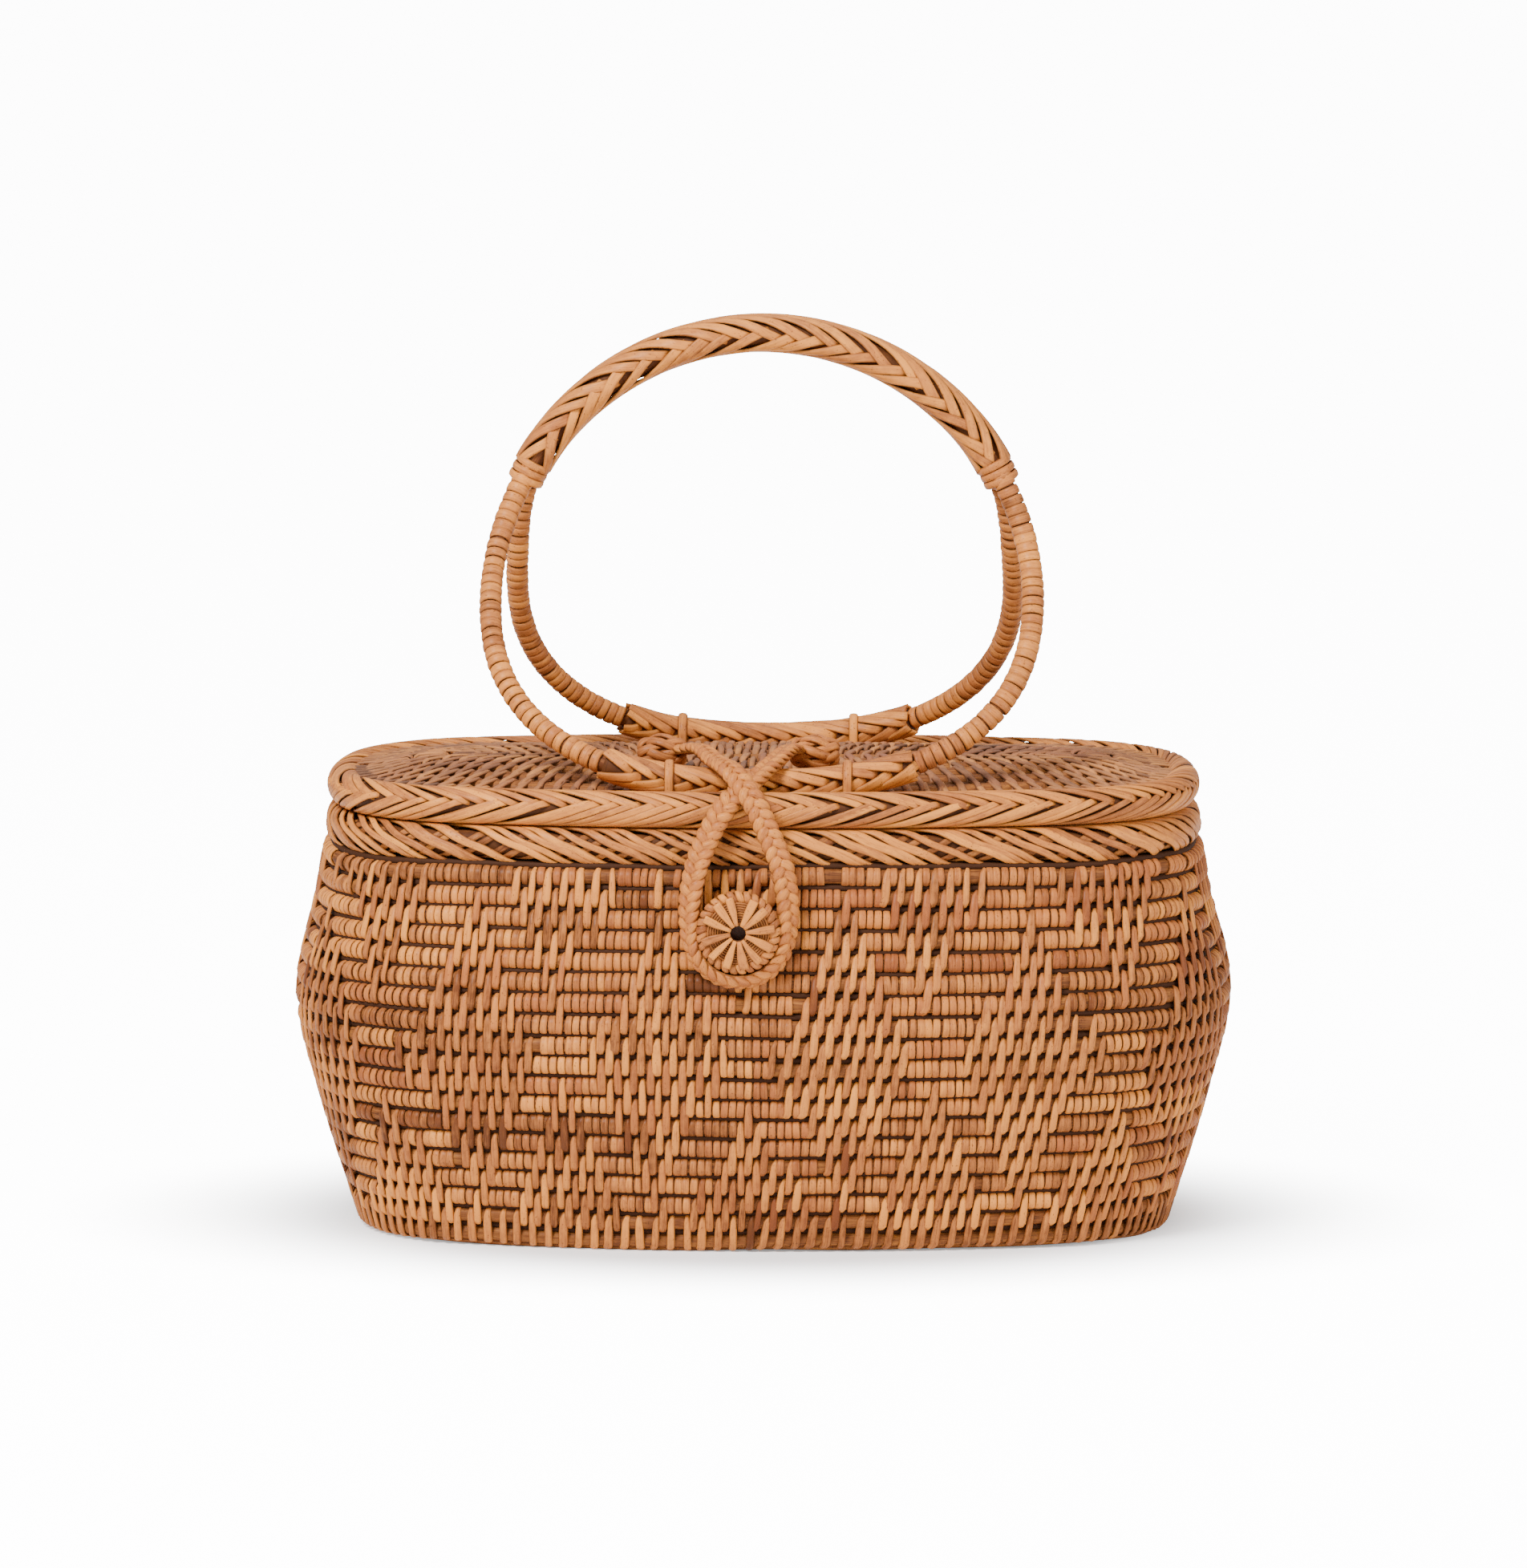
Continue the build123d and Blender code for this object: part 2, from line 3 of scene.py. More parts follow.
import bpy
import numpy as np
from bpy.props import FloatProperty, FloatVectorProperty, IntProperty, PointerProperty
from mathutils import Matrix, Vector


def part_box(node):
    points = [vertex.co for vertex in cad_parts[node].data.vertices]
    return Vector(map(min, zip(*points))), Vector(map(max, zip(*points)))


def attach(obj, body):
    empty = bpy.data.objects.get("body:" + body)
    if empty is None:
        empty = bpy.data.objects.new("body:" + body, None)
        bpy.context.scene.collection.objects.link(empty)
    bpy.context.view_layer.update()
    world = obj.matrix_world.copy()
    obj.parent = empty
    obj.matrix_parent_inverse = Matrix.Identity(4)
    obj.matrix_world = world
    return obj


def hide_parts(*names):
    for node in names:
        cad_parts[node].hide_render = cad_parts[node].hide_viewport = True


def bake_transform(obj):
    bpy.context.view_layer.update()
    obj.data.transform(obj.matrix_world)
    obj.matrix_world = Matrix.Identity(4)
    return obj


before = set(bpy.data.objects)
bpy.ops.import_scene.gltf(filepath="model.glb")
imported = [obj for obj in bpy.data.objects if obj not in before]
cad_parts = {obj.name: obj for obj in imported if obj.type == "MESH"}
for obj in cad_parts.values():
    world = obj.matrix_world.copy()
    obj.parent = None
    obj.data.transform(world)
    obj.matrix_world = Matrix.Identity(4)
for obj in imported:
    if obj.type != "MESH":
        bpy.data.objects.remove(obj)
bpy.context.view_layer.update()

bl_info = {
    "name": "Coiled rattan basket",
    "version": (1, 0, 0),
    "blender": (4, 5, 0),
    "location": "3D View > Sidebar > Basket",
    "description": "Weaves an oval lidded rattan basket round its packed frame",
    "category": "Object",
}

MM = 0.001


# ---- Places taken from the frame ----
def lowest(node):
    return np.array(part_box(node)[0], float)


def highest(node):
    return np.array(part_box(node)[1], float)


def middle_of(node):
    return (lowest(node) + highest(node)) / 2


HALF_LENGTH = highest("top_border")[0]
HALF_DEPTH = highest("top_border")[1]
RIM_BOTTOM, RIM_TOP = lowest("top_border")[2], highest("top_border")[2]
LID_BOTTOM, LID_TOP = lowest("lid_border")[2], highest("lid_border")[2]
PANEL_BOTTOM = lowest("lid_panel")[2]
PANEL_EDGE_TOP = PANEL_BOTTOM + 6.0 * MM
COLLAR_BOTTOM = lowest("lid_collar")[2]
HOOP_ROD = 2.5 * MM
HOOP_WRAP = 3.3 * MM
FEET_APART = 113.0 * MM


# ---- What a user would change ----
class BasketWeave(bpy.types.PropertyGroup):
    """Sizes of the rods and strips"""

    rod_radius: FloatProperty(
        name="Rod radius", description="Radius of the coiled rods", default=2.3 * MM, unit="LENGTH")
    strip_thickness: FloatProperty(
        name="Strip thickness", description="Thickness of the binding strips",
        default=0.7 * MM, unit="LENGTH")
    strip_width: FloatProperty(
        name="Strip width", description="Width of the binding strips", default=2.35 * MM, unit="LENGTH")
    slot_pitch: FloatProperty(
        name="Strip spacing", description="Distance from one binding strip to the next",
        default=2.33 * MM, unit="LENGTH")
    wall_rows: IntProperty(
        name="Wall rows", description="Number of coiled rods in the wall", default=19, min=4)
    lid_rows: IntProperty(
        name="Lid rows", description="Number of coiled rods from the lid's edge to its middle",
        default=7, min=2)
    diamonds: IntProperty(
        name="Diamonds", description="Number of diamonds round the wall", default=13, min=1)
    braid_width: FloatProperty(
        name="Braid strip width", description="Width of the strips in the rims and the grip",
        default=2.3 * MM, unit="LENGTH")


class BasketFinish(bpy.types.PropertyGroup):
    """Colours of the rattan, and the colour of its painted shade"""

    light: FloatVectorProperty(
        name="Light strip", description="Colour of the palest strips", subtype="COLOR",
        size=3, min=0, max=1, default=(0.74, 0.275, 0.048))
    middle: FloatVectorProperty(
        name="Strip", description="Colour of most strips", subtype="COLOR",
        size=3, min=0, max=1, default=(0.40, 0.135, 0.034))
    dark: FloatVectorProperty(
        name="Dark strip", description="Colour of the darkest strips", subtype="COLOR",
        size=3, min=0, max=1, default=(0.11, 0.033, 0.010))
    red: FloatVectorProperty(
        name="Red strip", description="Colour that some runs of strip lean to", subtype="COLOR",
        size=3, min=0, max=1, default=(0.34, 0.088, 0.028))
    # Painted shade: this near black colour darkens rods, cores and the gaps between rows, to stand in for the
    # shade that falls there.
    painted_shade: FloatVectorProperty(
        name="Core", description="Colour of the rods and cores below the strips", subtype="COLOR",
        size=3, min=0, max=1, default=(0.035, 0.012, 0.005))
    gloss: FloatProperty(
        name="Varnish", description="Strength of the shine on the strips", default=0.12, min=0, max=1)


# ---- Vectors in numpy ----
def unit(vectors):
    return vectors / np.maximum(np.linalg.norm(vectors, axis=-1, keepdims=True), 1e-12)


def full_turn(count):
    """Angles evenly round a circle, without the last one."""
    return np.linspace(0, 2 * np.pi, count, endpoint=False)


def smooth_share(x):
    """A share from 0 to 1 that starts and ends gently."""
    x = np.clip(x, 0, 1)
    return x * x * (3 - 2 * x)


def through(x, xs, ys):
    """A smooth curve through a few points: a cubic between each two, with mean slopes at the points."""
    xs, ys = np.asarray(xs, float), np.asarray(ys, float)
    slopes = np.gradient(ys, xs, axis=0)
    x = np.clip(x, xs[0], xs[-1])
    i = np.clip(np.searchsorted(xs, x) - 1, 0, len(xs) - 2)
    span = xs[i + 1] - xs[i]
    t = (x - xs[i]) / span
    if ys.ndim > 1:
        t, span = t[..., None], span[..., None]
    start = ys[i] * (1 + 2 * t) * (1 - t) ** 2 + slopes[i] * span * t * (1 - t) ** 2
    return start + ys[i + 1] * t * t * (3 - 2 * t) + slopes[i + 1] * span * t * t * (t - 1)


# ---- Meshes ----
CROWN = np.array([(-1, 0.05), (-0.72, 0.78), (0, 1), (0.72, 0.78), (1, 0.05)])
FLAT = np.array([(-1, 0.12), (-0.9, 0.78), (-0.45, 0.98), (0.45, 0.98), (0.9, 0.78), (1, 0.12)])


class Heap:
    """Gathers grids of points into one mesh, with the lay and the tone of each point.

    lay is (distance along the strip, place across it from -1 to 1, the strip's own random number), and
    tone is (how pale, how red, how much painted shade it has)."""

    def __init__(self):
        self.points, self.lay, self.tone, self.faces = [], [], [], []
        self.count = 0

    def add(self, points, lay, tone, closed=True):
        """points is (strips, steps along, points round, 3). Closed strips join end to end, others get caps.

        The signed volume of the first strip tells which way its faces look, and they are turned outwards."""
        strips, steps, round_, _ = points.shape
        number = np.arange(strips * steps * round_).reshape(strips, steps, round_)
        after = np.roll(number, -1, axis=1)
        here = number if closed else number[:, :-1]
        after = after if closed else after[:, :-1]
        quads = np.stack(
            [here, np.roll(here, -1, axis=2), np.roll(after, -1, axis=2), after], axis=-1).reshape(-1, 4)
        groups = [quads]
        if not closed:
            groups.append(number[:, 0, ::-1].reshape(-1, round_))
            groups.append(number[:, -1, :].reshape(-1, round_))
        flat = points.reshape(-1, 3)
        first = quads[:(steps if closed else steps - 1) * round_]
        triangles = [first[:, :3], first[:, [0, 2, 3]]]
        if not closed:
            for ends in (number[0, 0, ::-1], number[0, -1, :]):
                hub = np.full(round_ - 2, ends[0])
                triangles.append(np.stack([hub, ends[1:-1], ends[2:]], axis=-1))
        a, b, c = (flat[np.concatenate(triangles)] - flat[0]).transpose(1, 0, 2)
        if np.einsum("ij,ij->i", a, np.cross(b, c)).sum() < 0:
            groups = [group[:, ::-1] for group in groups]
        self.faces += [group + self.count for group in groups]
        self.points.append(flat)
        shape = (strips, steps, round_, 3)
        self.lay.append(np.broadcast_to(lay, shape).reshape(-1, 3))
        self.tone.append(np.broadcast_to(tone, shape).reshape(-1, 3))
        self.count += len(flat)

    def build(self, name, body, nodes, slot, material):
        """Makes the piece, which rides on its body and stands for its nodes."""
        mesh = bpy.data.meshes.new(name)
        points = np.concatenate(self.points)
        mesh.vertices.add(len(points))
        mesh.vertices.foreach_set("co", points.ravel())
        totals = np.concatenate([np.full(len(group), group.shape[1]) for group in self.faces])
        corners = np.concatenate([group.ravel() for group in self.faces])
        mesh.loops.add(len(corners))
        mesh.loops.foreach_set("vertex_index", corners)
        mesh.polygons.add(len(totals))
        mesh.polygons.foreach_set("loop_start", np.concatenate([[0], np.cumsum(totals)[:-1]]))
        mesh.polygons.foreach_set("use_smooth", totals == 4)
        for key, values in (("lay", self.lay), ("tone", self.tone)):
            layer = mesh.attributes.new(key, "FLOAT_VECTOR", "POINT")
            layer.data.foreach_set("vector", np.concatenate(values).ravel())
        mesh.update(calc_edges=True)
        mesh.validate()
        mesh.materials.append(material)
        piece = bpy.data.objects.new(name, mesh)
        bpy.context.scene.collection.objects.link(piece)
        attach(piece, body)
        if nodes:
            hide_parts(*nodes)
        return piece


def lay_of(centre, across, rng):
    """The lay of strips along lines of points: across is the place of each point of the section."""
    strips, steps, _ = centre.shape
    run = np.linalg.norm(np.diff(centre, axis=1), axis=-1)
    run = np.concatenate([np.zeros((strips, 1)), np.cumsum(run, axis=1)], axis=1)
    shape = (strips, steps, len(across))
    return np.stack([
        np.broadcast_to(run[..., None], shape),
        np.broadcast_to(across, shape),
        np.broadcast_to(rng.random(strips)[:, None, None], shape),
    ], axis=-1)


def ribbons(heap, centre, out, width, thick, tone, rng, closed=True, section=CROWN):
    """Strips along lines of points. Each section lies across the strip, with its crown outwards.

    centre and out are (strips, steps, 3), and width and thick fit (strips, steps)."""
    strips, steps, _ = centre.shape
    if closed:
        along = np.roll(centre, -1, axis=1) - np.roll(centre, 1, axis=1)
    else:
        along = np.gradient(centre, axis=1)
    along = unit(along)
    side = unit(np.cross(along, out))
    out = np.cross(side, along)
    width = np.broadcast_to(width, (strips, steps))[..., None, None]
    thick = np.broadcast_to(thick, (strips, steps))[..., None, None]
    points = centre[:, :, None] + side[:, :, None] * section[:, :1] * width / 2
    points = points + out[:, :, None] * section[:, 1:] * thick
    heap.add(points, lay_of(centre, section[:, 0], rng), np.asarray(tone).reshape(-1, 1, 1, 3), closed)


def tube(heap, centre, across, up, radius, tone, rng, closed=True, sides=10, spread=None):
    """A rod along a line: an ellipse in the plane of across and up at each point, with the half breadth
    spread across it, or a circle if none is given."""
    turn = full_turn(sides)
    radius = np.broadcast_to(radius, centre.shape[:2])[..., None, None]
    spread = radius if spread is None else np.broadcast_to(spread, centre.shape[:2])[..., None, None]
    points = centre[:, :, None] + across[:, :, None] * np.cos(turn)[:, None] * spread
    points = points + up[:, :, None] * np.sin(turn)[:, None] * radius
    lay = lay_of(centre, np.abs(turn / np.pi - 1) * 2 - 1, rng)
    heap.add(points, lay, np.asarray(tone).reshape(-1, 1, 1, 3), closed)


# ---- The oval ----
class Oval:
    """An outline of side, corner and end arcs, read by the direction that it faces.

    The point that faces a direction is its arc's centre plus the arc's radius in that direction, and an
    offset adds to every radius. The distance round starts in the middle of the front."""

    SIDE, END, CORNER = 0.400, 0.140, 0.050

    def __init__(self):
        side_y, end_x = HALF_DEPTH - self.SIDE, HALF_LENGTH - self.END
        gap = math.hypot(end_x, side_y)
        reach_side, reach_end = self.SIDE - self.CORNER, self.END - self.CORNER
        along = (reach_side**2 - reach_end**2 + gap**2) / (2 * gap)
        across = math.sqrt(reach_side**2 - along**2)
        ux, uy = end_x / gap, -side_y / gap
        self.corner = np.array([ux * along + uy * across, side_y + uy * along - ux * across])
        self.side_y, self.end_x = side_y, end_x
        self.end_turn = math.atan2(self.corner[1], self.corner[0] - end_x)
        self.side_turn = math.atan2(self.corner[1] - side_y, self.corner[0])
        self.facing = np.linspace(-np.pi / 2, 3 * np.pi / 2, 8001)
        radius = self.arc(self.facing)[2]
        steps = (radius[1:] + radius[:-1]) / 2 * np.diff(self.facing)
        self.run = np.concatenate([[0], np.cumsum(steps)])
        self.length = self.run[-1]

    def arc(self, facing):
        """The centre and the radius of the arc that faces a direction."""
        c, s = np.cos(facing), np.sin(facing)
        folded = np.arctan2(np.abs(s), np.abs(c))
        end, side = folded < self.end_turn, folded > self.side_turn
        x = np.where(end, self.end_x, np.where(side, 0, self.corner[0])) * np.sign(c)
        y = np.where(end, 0, np.where(side, self.side_y, self.corner[1])) * np.sign(s)
        return x, y, np.where(end, self.END, np.where(side, self.SIDE, self.CORNER))

    def place(self, run, offset, height):
        """(point, direction along, direction outwards) at a distance round the mouth's outline."""
        facing = np.interp(np.mod(run, self.length), self.run, self.facing)
        x, y, radius = self.arc(facing)
        c, s = np.cos(facing), np.sin(facing)
        height = np.broadcast_to(height, np.broadcast(run, offset).shape)
        zero = np.zeros_like(height)
        reach = radius + offset
        point = np.stack([x + reach * c + zero, y + reach * s + zero, height], axis=-1)
        return point, np.stack([-s + zero, c + zero, zero], -1), np.stack([c + zero, s + zero, zero], -1)


OVAL = Oval()
UP = np.array([0.0, 0.0, 1.0])


def upwards(like):
    """The upward direction, once for each direction in an array."""
    return np.broadcast_to(UP, like.shape)


# ---- The coiled weave ----
def wall_profile(count=800):
    """The wall's outer face as (offset, height) from its top down to the floor, and its outward direction.

    A smooth curve runs through the belly's points, and a quarter ellipse turns under at the heel."""
    heel_offset, heel_height, floor_offset = -6.0 * MM, 8.5 * MM, -12.0 * MM
    heights = np.array([8.5, 37.5, 70, 100, 115]) * MM
    offsets = np.array([-6, 3, 9.8, 3.6, 1.0]) * MM
    z = np.linspace(RIM_BOTTOM, heel_height, count)
    body = np.stack([through(z, heights, offsets), z], axis=-1)
    turn = np.linspace(0, np.pi / 2, count // 4)[1:]
    heel = np.stack([
        floor_offset + (heel_offset - floor_offset) * np.cos(turn),
        heel_height * (1 - np.sin(turn)),
    ], axis=-1)
    face = np.concatenate([body, heel])
    slope = unit(np.gradient(face, axis=0))
    return face, np.stack([-slope[:, 1], slope[:, 0]], axis=-1)


def wall_rows(weave):
    """Each row's rod centre as (offset, height), evenly spaced down the profile and a strip's depth inside.

    The lowest row stays a little above the floor, because its strips lean."""
    depth = weave.rod_radius + weave.strip_thickness
    face, out = wall_profile()
    centre = face - out * depth
    run = np.concatenate([[0], np.cumsum(np.linalg.norm(np.diff(centre, axis=0), axis=1))])
    last = np.interp(depth + 0.6 * MM, centre[::-1, 1], run[::-1])
    places = np.linspace(depth, last, weave.wall_rows)
    return np.stack([np.interp(places, run, centre[:, 0]), np.interp(places, run, centre[:, 1])], axis=-1)


def strip_loops(heap, first, second, down, out, along, radius, width, thick, tone, slant, rng, turns,
                blunt=0.0, section=CROWN, spread=None):
    """Closed strips round two rods, or round one where first equals second. The rods are round, or oval
    with the half breadth spread along the direction down.

    turns are the angles, from the direction down, of the points round the strip; those in the upper half go
    round the first rod and those in the lower half round the second. blunt makes the lower end stand out
    and the upper end narrow, so that it tucks in between its neighbours."""
    turns = np.radians(np.asarray(turns, float))
    level = np.abs(np.cos(turns)) <= 1e-6
    share = np.where(level, 0.5, (np.cos(turns) > 0).astype(float))
    centre = first[:, None] * (1 - share)[:, None] + second[:, None] * share[:, None]
    out_way = down[:, None] * np.cos(turns)[:, None] + out[:, None] * np.sin(turns)[:, None]
    low = np.cos(turns) * np.maximum(np.sin(turns), 0) ** 0.5
    if spread is None:
        path = centre + out_way * radius
    else:
        path = centre + down[:, None] * (spread[:, None] * np.cos(turns))[..., None]
        path = path + out[:, None] * (radius * np.sin(turns))[:, None]
    path = path + out[:, None] * (low * blunt)[:, None]
    lean = -np.cos(turns) * np.sign(np.sin(turns) + 1e-9)
    path = path + along[:, None] * (slant[:, None] * lean)[..., None]
    narrow = 0.34 * (blunt > 0) + 0.08
    wide = np.asarray(width).reshape(-1, 1) * (1 - narrow * np.maximum(-np.cos(turns), 0))
    ribbons(heap, path, out_way, wide, thick, tone, rng, section=section)


def row_wave(row, run):
    """How far a wall row strays up or down along its run: a slow wave shared by all, and one of its own."""
    turn = 2 * np.pi * run / OVAL.length
    shared = 0.30 * np.sin(3 * turn + 1.0 + 0.25 * row) + 0.22 * np.sin(7 * turn + 0.4 * row)
    return (shared + 0.16 * np.sin(13 * turn + 2.4 * row)) * MM


LONG_TURNS = [180, 140, 108, 90, 72, 38, 5, -40, -90, -140]
RING_TURNS = [180, 145, 115, 90, 65, 35, 0, -60, -120]


def in_lattice(row, run, weave):
    """True where a row belongs to the lattice of ringed rods that draws diamonds on the wall.

    Each diamond's two sides spread from its top to half height and close again at its foot."""
    start, middle_row, half_rows, top_row, foot_row = 29 * MM, 8.5, 7.5, 1, 16
    period = OVAL.length / weave.diamonds
    place = np.mod(run + start + period / 2, period) - period / 2
    spread = 1 - np.abs(row - middle_row) / half_rows
    side = 6.0 * MM + (period / 2 - 7.0 * MM) * spread
    # The upper left side of each diamond is broader than the other three.
    wide = np.where((place < 0) & (row < 8), 6.2 * MM, 3.9 * MM)
    return (np.abs(np.abs(place) - side) < wide) & (row >= top_row) & (row <= foot_row)


def run_tones(rows, run, rng, length=0.075):
    """The tone of each place in a row: strips of one colour bind a stretch of the row."""
    stretches = int(OVAL.length * 1.3 / length) + 2
    most_rows = 64
    table = np.stack([
        rng.normal(0.5, 0.17, (most_rows, stretches)),
        np.clip(rng.normal(0.12, 0.22, (most_rows, stretches)), 0, 0.8),
    ], axis=-1)
    shift = rng.random(most_rows)
    cell = np.floor(run / length + shift[rows]).astype(int) % stretches
    picked = table[rows, cell]
    tone = np.empty(picked.shape[:-1] + (3,))
    tone[..., 0] = picked[..., 0] + rng.normal(0, 0.09, picked.shape[:-1])
    tone[..., 1] = picked[..., 1] + rng.normal(0, 0.05, picked.shape[:-1])
    tone[..., 2] = 0
    return np.clip(tone, 0, 1)


def wall_strips(weave, rng):
    """Which strip binds each place: a long one down to the next row, or a ring round this row alone."""
    slots = int(round(OVAL.length / weave.slot_pitch / 2)) * 2
    rows, slot = np.meshgrid(np.arange(weave.wall_rows), np.arange(slots), indexing="ij")
    run = slot * OVAL.length / slots
    ringed = in_lattice(rows, run, weave)
    below = np.zeros_like(ringed)
    below[:-1] = ringed[1:]
    long_ = ((slot + rows) % 2 == 0) & ~ringed & ~below & (rows < weave.wall_rows - 1)
    covered = long_.copy()
    covered[1:] |= long_[:-1]
    ring = ~covered & (rows < weave.wall_rows - 2)
    ring &= ringed | (rng.random(ring.shape) > 0.12)
    return rows, run, long_, ring


class BASKET_OT_wall(bpy.types.Operator):
    """Weaves the wall: coiled rods, long strips over two rows and rings that draw the diamonds"""

    bl_idname = "basket.wall"
    bl_label = "Wall"

    def execute(self, context):
        weave = context.scene.basket_weave
        rng = np.random.default_rng(11)
        centres = wall_rows(weave)
        rods = Heap()
        run = np.linspace(0, OVAL.length, 260, endpoint=False)
        between = (centres[1:] + centres[:-1]) / 2
        highest_fill = centres[0] - (centres[1] - centres[0]) / 2
        lowest_fill = centres[-1] + (centres[-1] - centres[-2]) / 2.6
        fills = np.concatenate([[highest_fill], between, [lowest_fill]])
        # The fills are thin rods that close the gaps between rows, darkened nearly all the way as painted
        # shade for the dark gaps; the rods get half painted shade. The one at the floor is paler, with less
        # painted shade.
        rod_shades, fill_shades = np.full(len(centres), 0.5), np.full(len(fills), 0.98)
        fill_shades[-1] = 0.4
        for places, radius, shades in ((centres, weave.rod_radius, rod_shades),
                                       (fills, 0.5 * weave.rod_radius, fill_shades)):
            for row, (offset, height) in enumerate(places):
                point, _, out = OVAL.place(run, offset, height + row_wave(row, run))
                tone = [rng.uniform(0.35, 0.6), 0.1, shades[row]]
                tube(rods, point[None], out[None], upwards(out)[None], radius, tone, rng, sides=8)
        rods.build("wall_rods", "basket", ["side_wall"], "wall_weave",
                   rattan("wall rods", context, fibre=0.7))

        rows, run, long_, ring = wall_strips(weave, rng)
        radius = weave.rod_radius
        for kind, mask, turns in (("long", long_, LONG_TURNS), ("ring", ring, RING_TURNS)):
            row, place = rows[mask], run[mask]
            place = place + rng.normal(0, 0.16 * MM, place.shape)
            upper = centres[row]
            lower = centres[row + 1] if kind == "long" else upper
            below = row + (kind == "long")
            first, along, out = OVAL.place(place, upper[:, 0], upper[:, 1] + row_wave(row, place))
            second = OVAL.place(place, lower[:, 0], lower[:, 1] + row_wave(below, place))[0]
            fall = unit(centres[np.minimum(row + 1, len(centres) - 1)] - centres[np.maximum(row - 1, 0)])
            down = out * fall[:, :1] + UP * fall[:, 1:]
            if kind == "long":
                down = unit(second - first)
            face = np.cross(along, down)
            face *= np.sign(np.einsum("ij,ij->i", face, out + 1e-3 * UP))[:, None]
            tone = run_tones(row, place, rng)
            size = len(row)
            width = weave.strip_width * rng.normal(1.05, 0.09, size)
            slant = rng.normal(0.85 * MM, 0.25 * MM, size)
            slant = slant + 0.35 * MM * np.sign(first[:, 0]) * (first[:, 1] < 0)
            if kind == "ring":
                width = weave.slot_pitch * rng.normal(0.97, 0.05, size)
                slant = rng.normal(0.08 * MM, 0.1 * MM, size)
            for side, part in (("front", first[:, 1] < 0), ("back", first[:, 1] >= 0)):
                heap = Heap()
                strip_loops(heap, first[part], second[part], down[part], face[part], along[part], radius,
                            width[part], weave.strip_thickness, tone[part], slant[part], rng, turns,
                            blunt=0.45 * MM if kind == "long" else 0.0,
                            section=CROWN if kind == "long" else FLAT)
                heap.build(f"wall_{kind}_{side}", "basket", [], "wall_weave",
                           rattan("wall strips", context))
        return {"FINISHED"}


# ---- Flat coiled panels: the base and the lid ----
class Panel:
    """A flat or swollen oval coil. Each row lies a share of the way from the outer row to the middle line.

    A row's point is outer * (1 - share) + middle * share, and rise lifts it by the smooth share of its way.
    Under the handle's feet it sinks by dip * exp(-((|y| - foot_y) / sink)^2), and less beyond the feet."""

    FOOT_Y, SINK, FOOT_END, FADE = FEET_APART / 2, 9 * MM, 86 * MM, 24 * MM

    def __init__(self, offset, height, rows, core, rise=0.0, dip=0.0):
        self.offset, self.height, self.rise, self.dip = offset, height, rise, dip
        self.core, self.rows = core, rows
        self.share = np.linspace(0, 1, rows + 1)

    def place(self, run, share):
        outer = OVAL.place(run, self.offset, self.height)[0]
        middle = np.zeros_like(outer)
        middle[..., 0] = outer[..., 0] * self.core / (HALF_LENGTH + self.offset)
        middle[..., 2] = self.height
        share = np.broadcast_to(share, run.shape)[..., None]
        point = outer * (1 - share) + middle * share
        point[..., 2] += self.rise * smooth_share(share[..., 0] / 0.75)
        foot = np.exp(-((np.abs(point[..., 1]) - self.FOOT_Y) / self.SINK) ** 2)
        foot = foot * smooth_share((self.FOOT_END - np.abs(point[..., 0])) / self.FADE)
        point[..., 2] -= self.dip * foot
        return point

    def row_run(self, row, pitch, phase):
        """Places on a row an even distance apart, counted both ways from the middle of each side."""
        dense = np.linspace(0, OVAL.length, 2401)
        point = self.place(dense, (self.share[row] + self.share[row + 1]) / 2)
        steps = np.linalg.norm(np.diff(point, axis=0), axis=1)
        length = np.concatenate([[0], np.cumsum(steps)])
        half = length[-1] / 2
        count = int(half / 2 / pitch - phase)
        places = (np.arange(-count, count + 1) + phase) * pitch
        places = np.concatenate([np.mod(places, length[-1]), half + places])
        return np.interp(places, length, dense)


def pieces_of(keep):
    """The runs of kept places on a closed line, as lists of numbers that may pass its end."""
    gaps = np.flatnonzero(~keep)
    count = len(keep)
    if not len(gaps):
        return [np.arange(count)]
    after = np.concatenate([gaps[1:], [gaps[0] + count]])
    return [np.arange(g + 1, h) % count for g, h in zip(gaps, after) if h - g > 4]


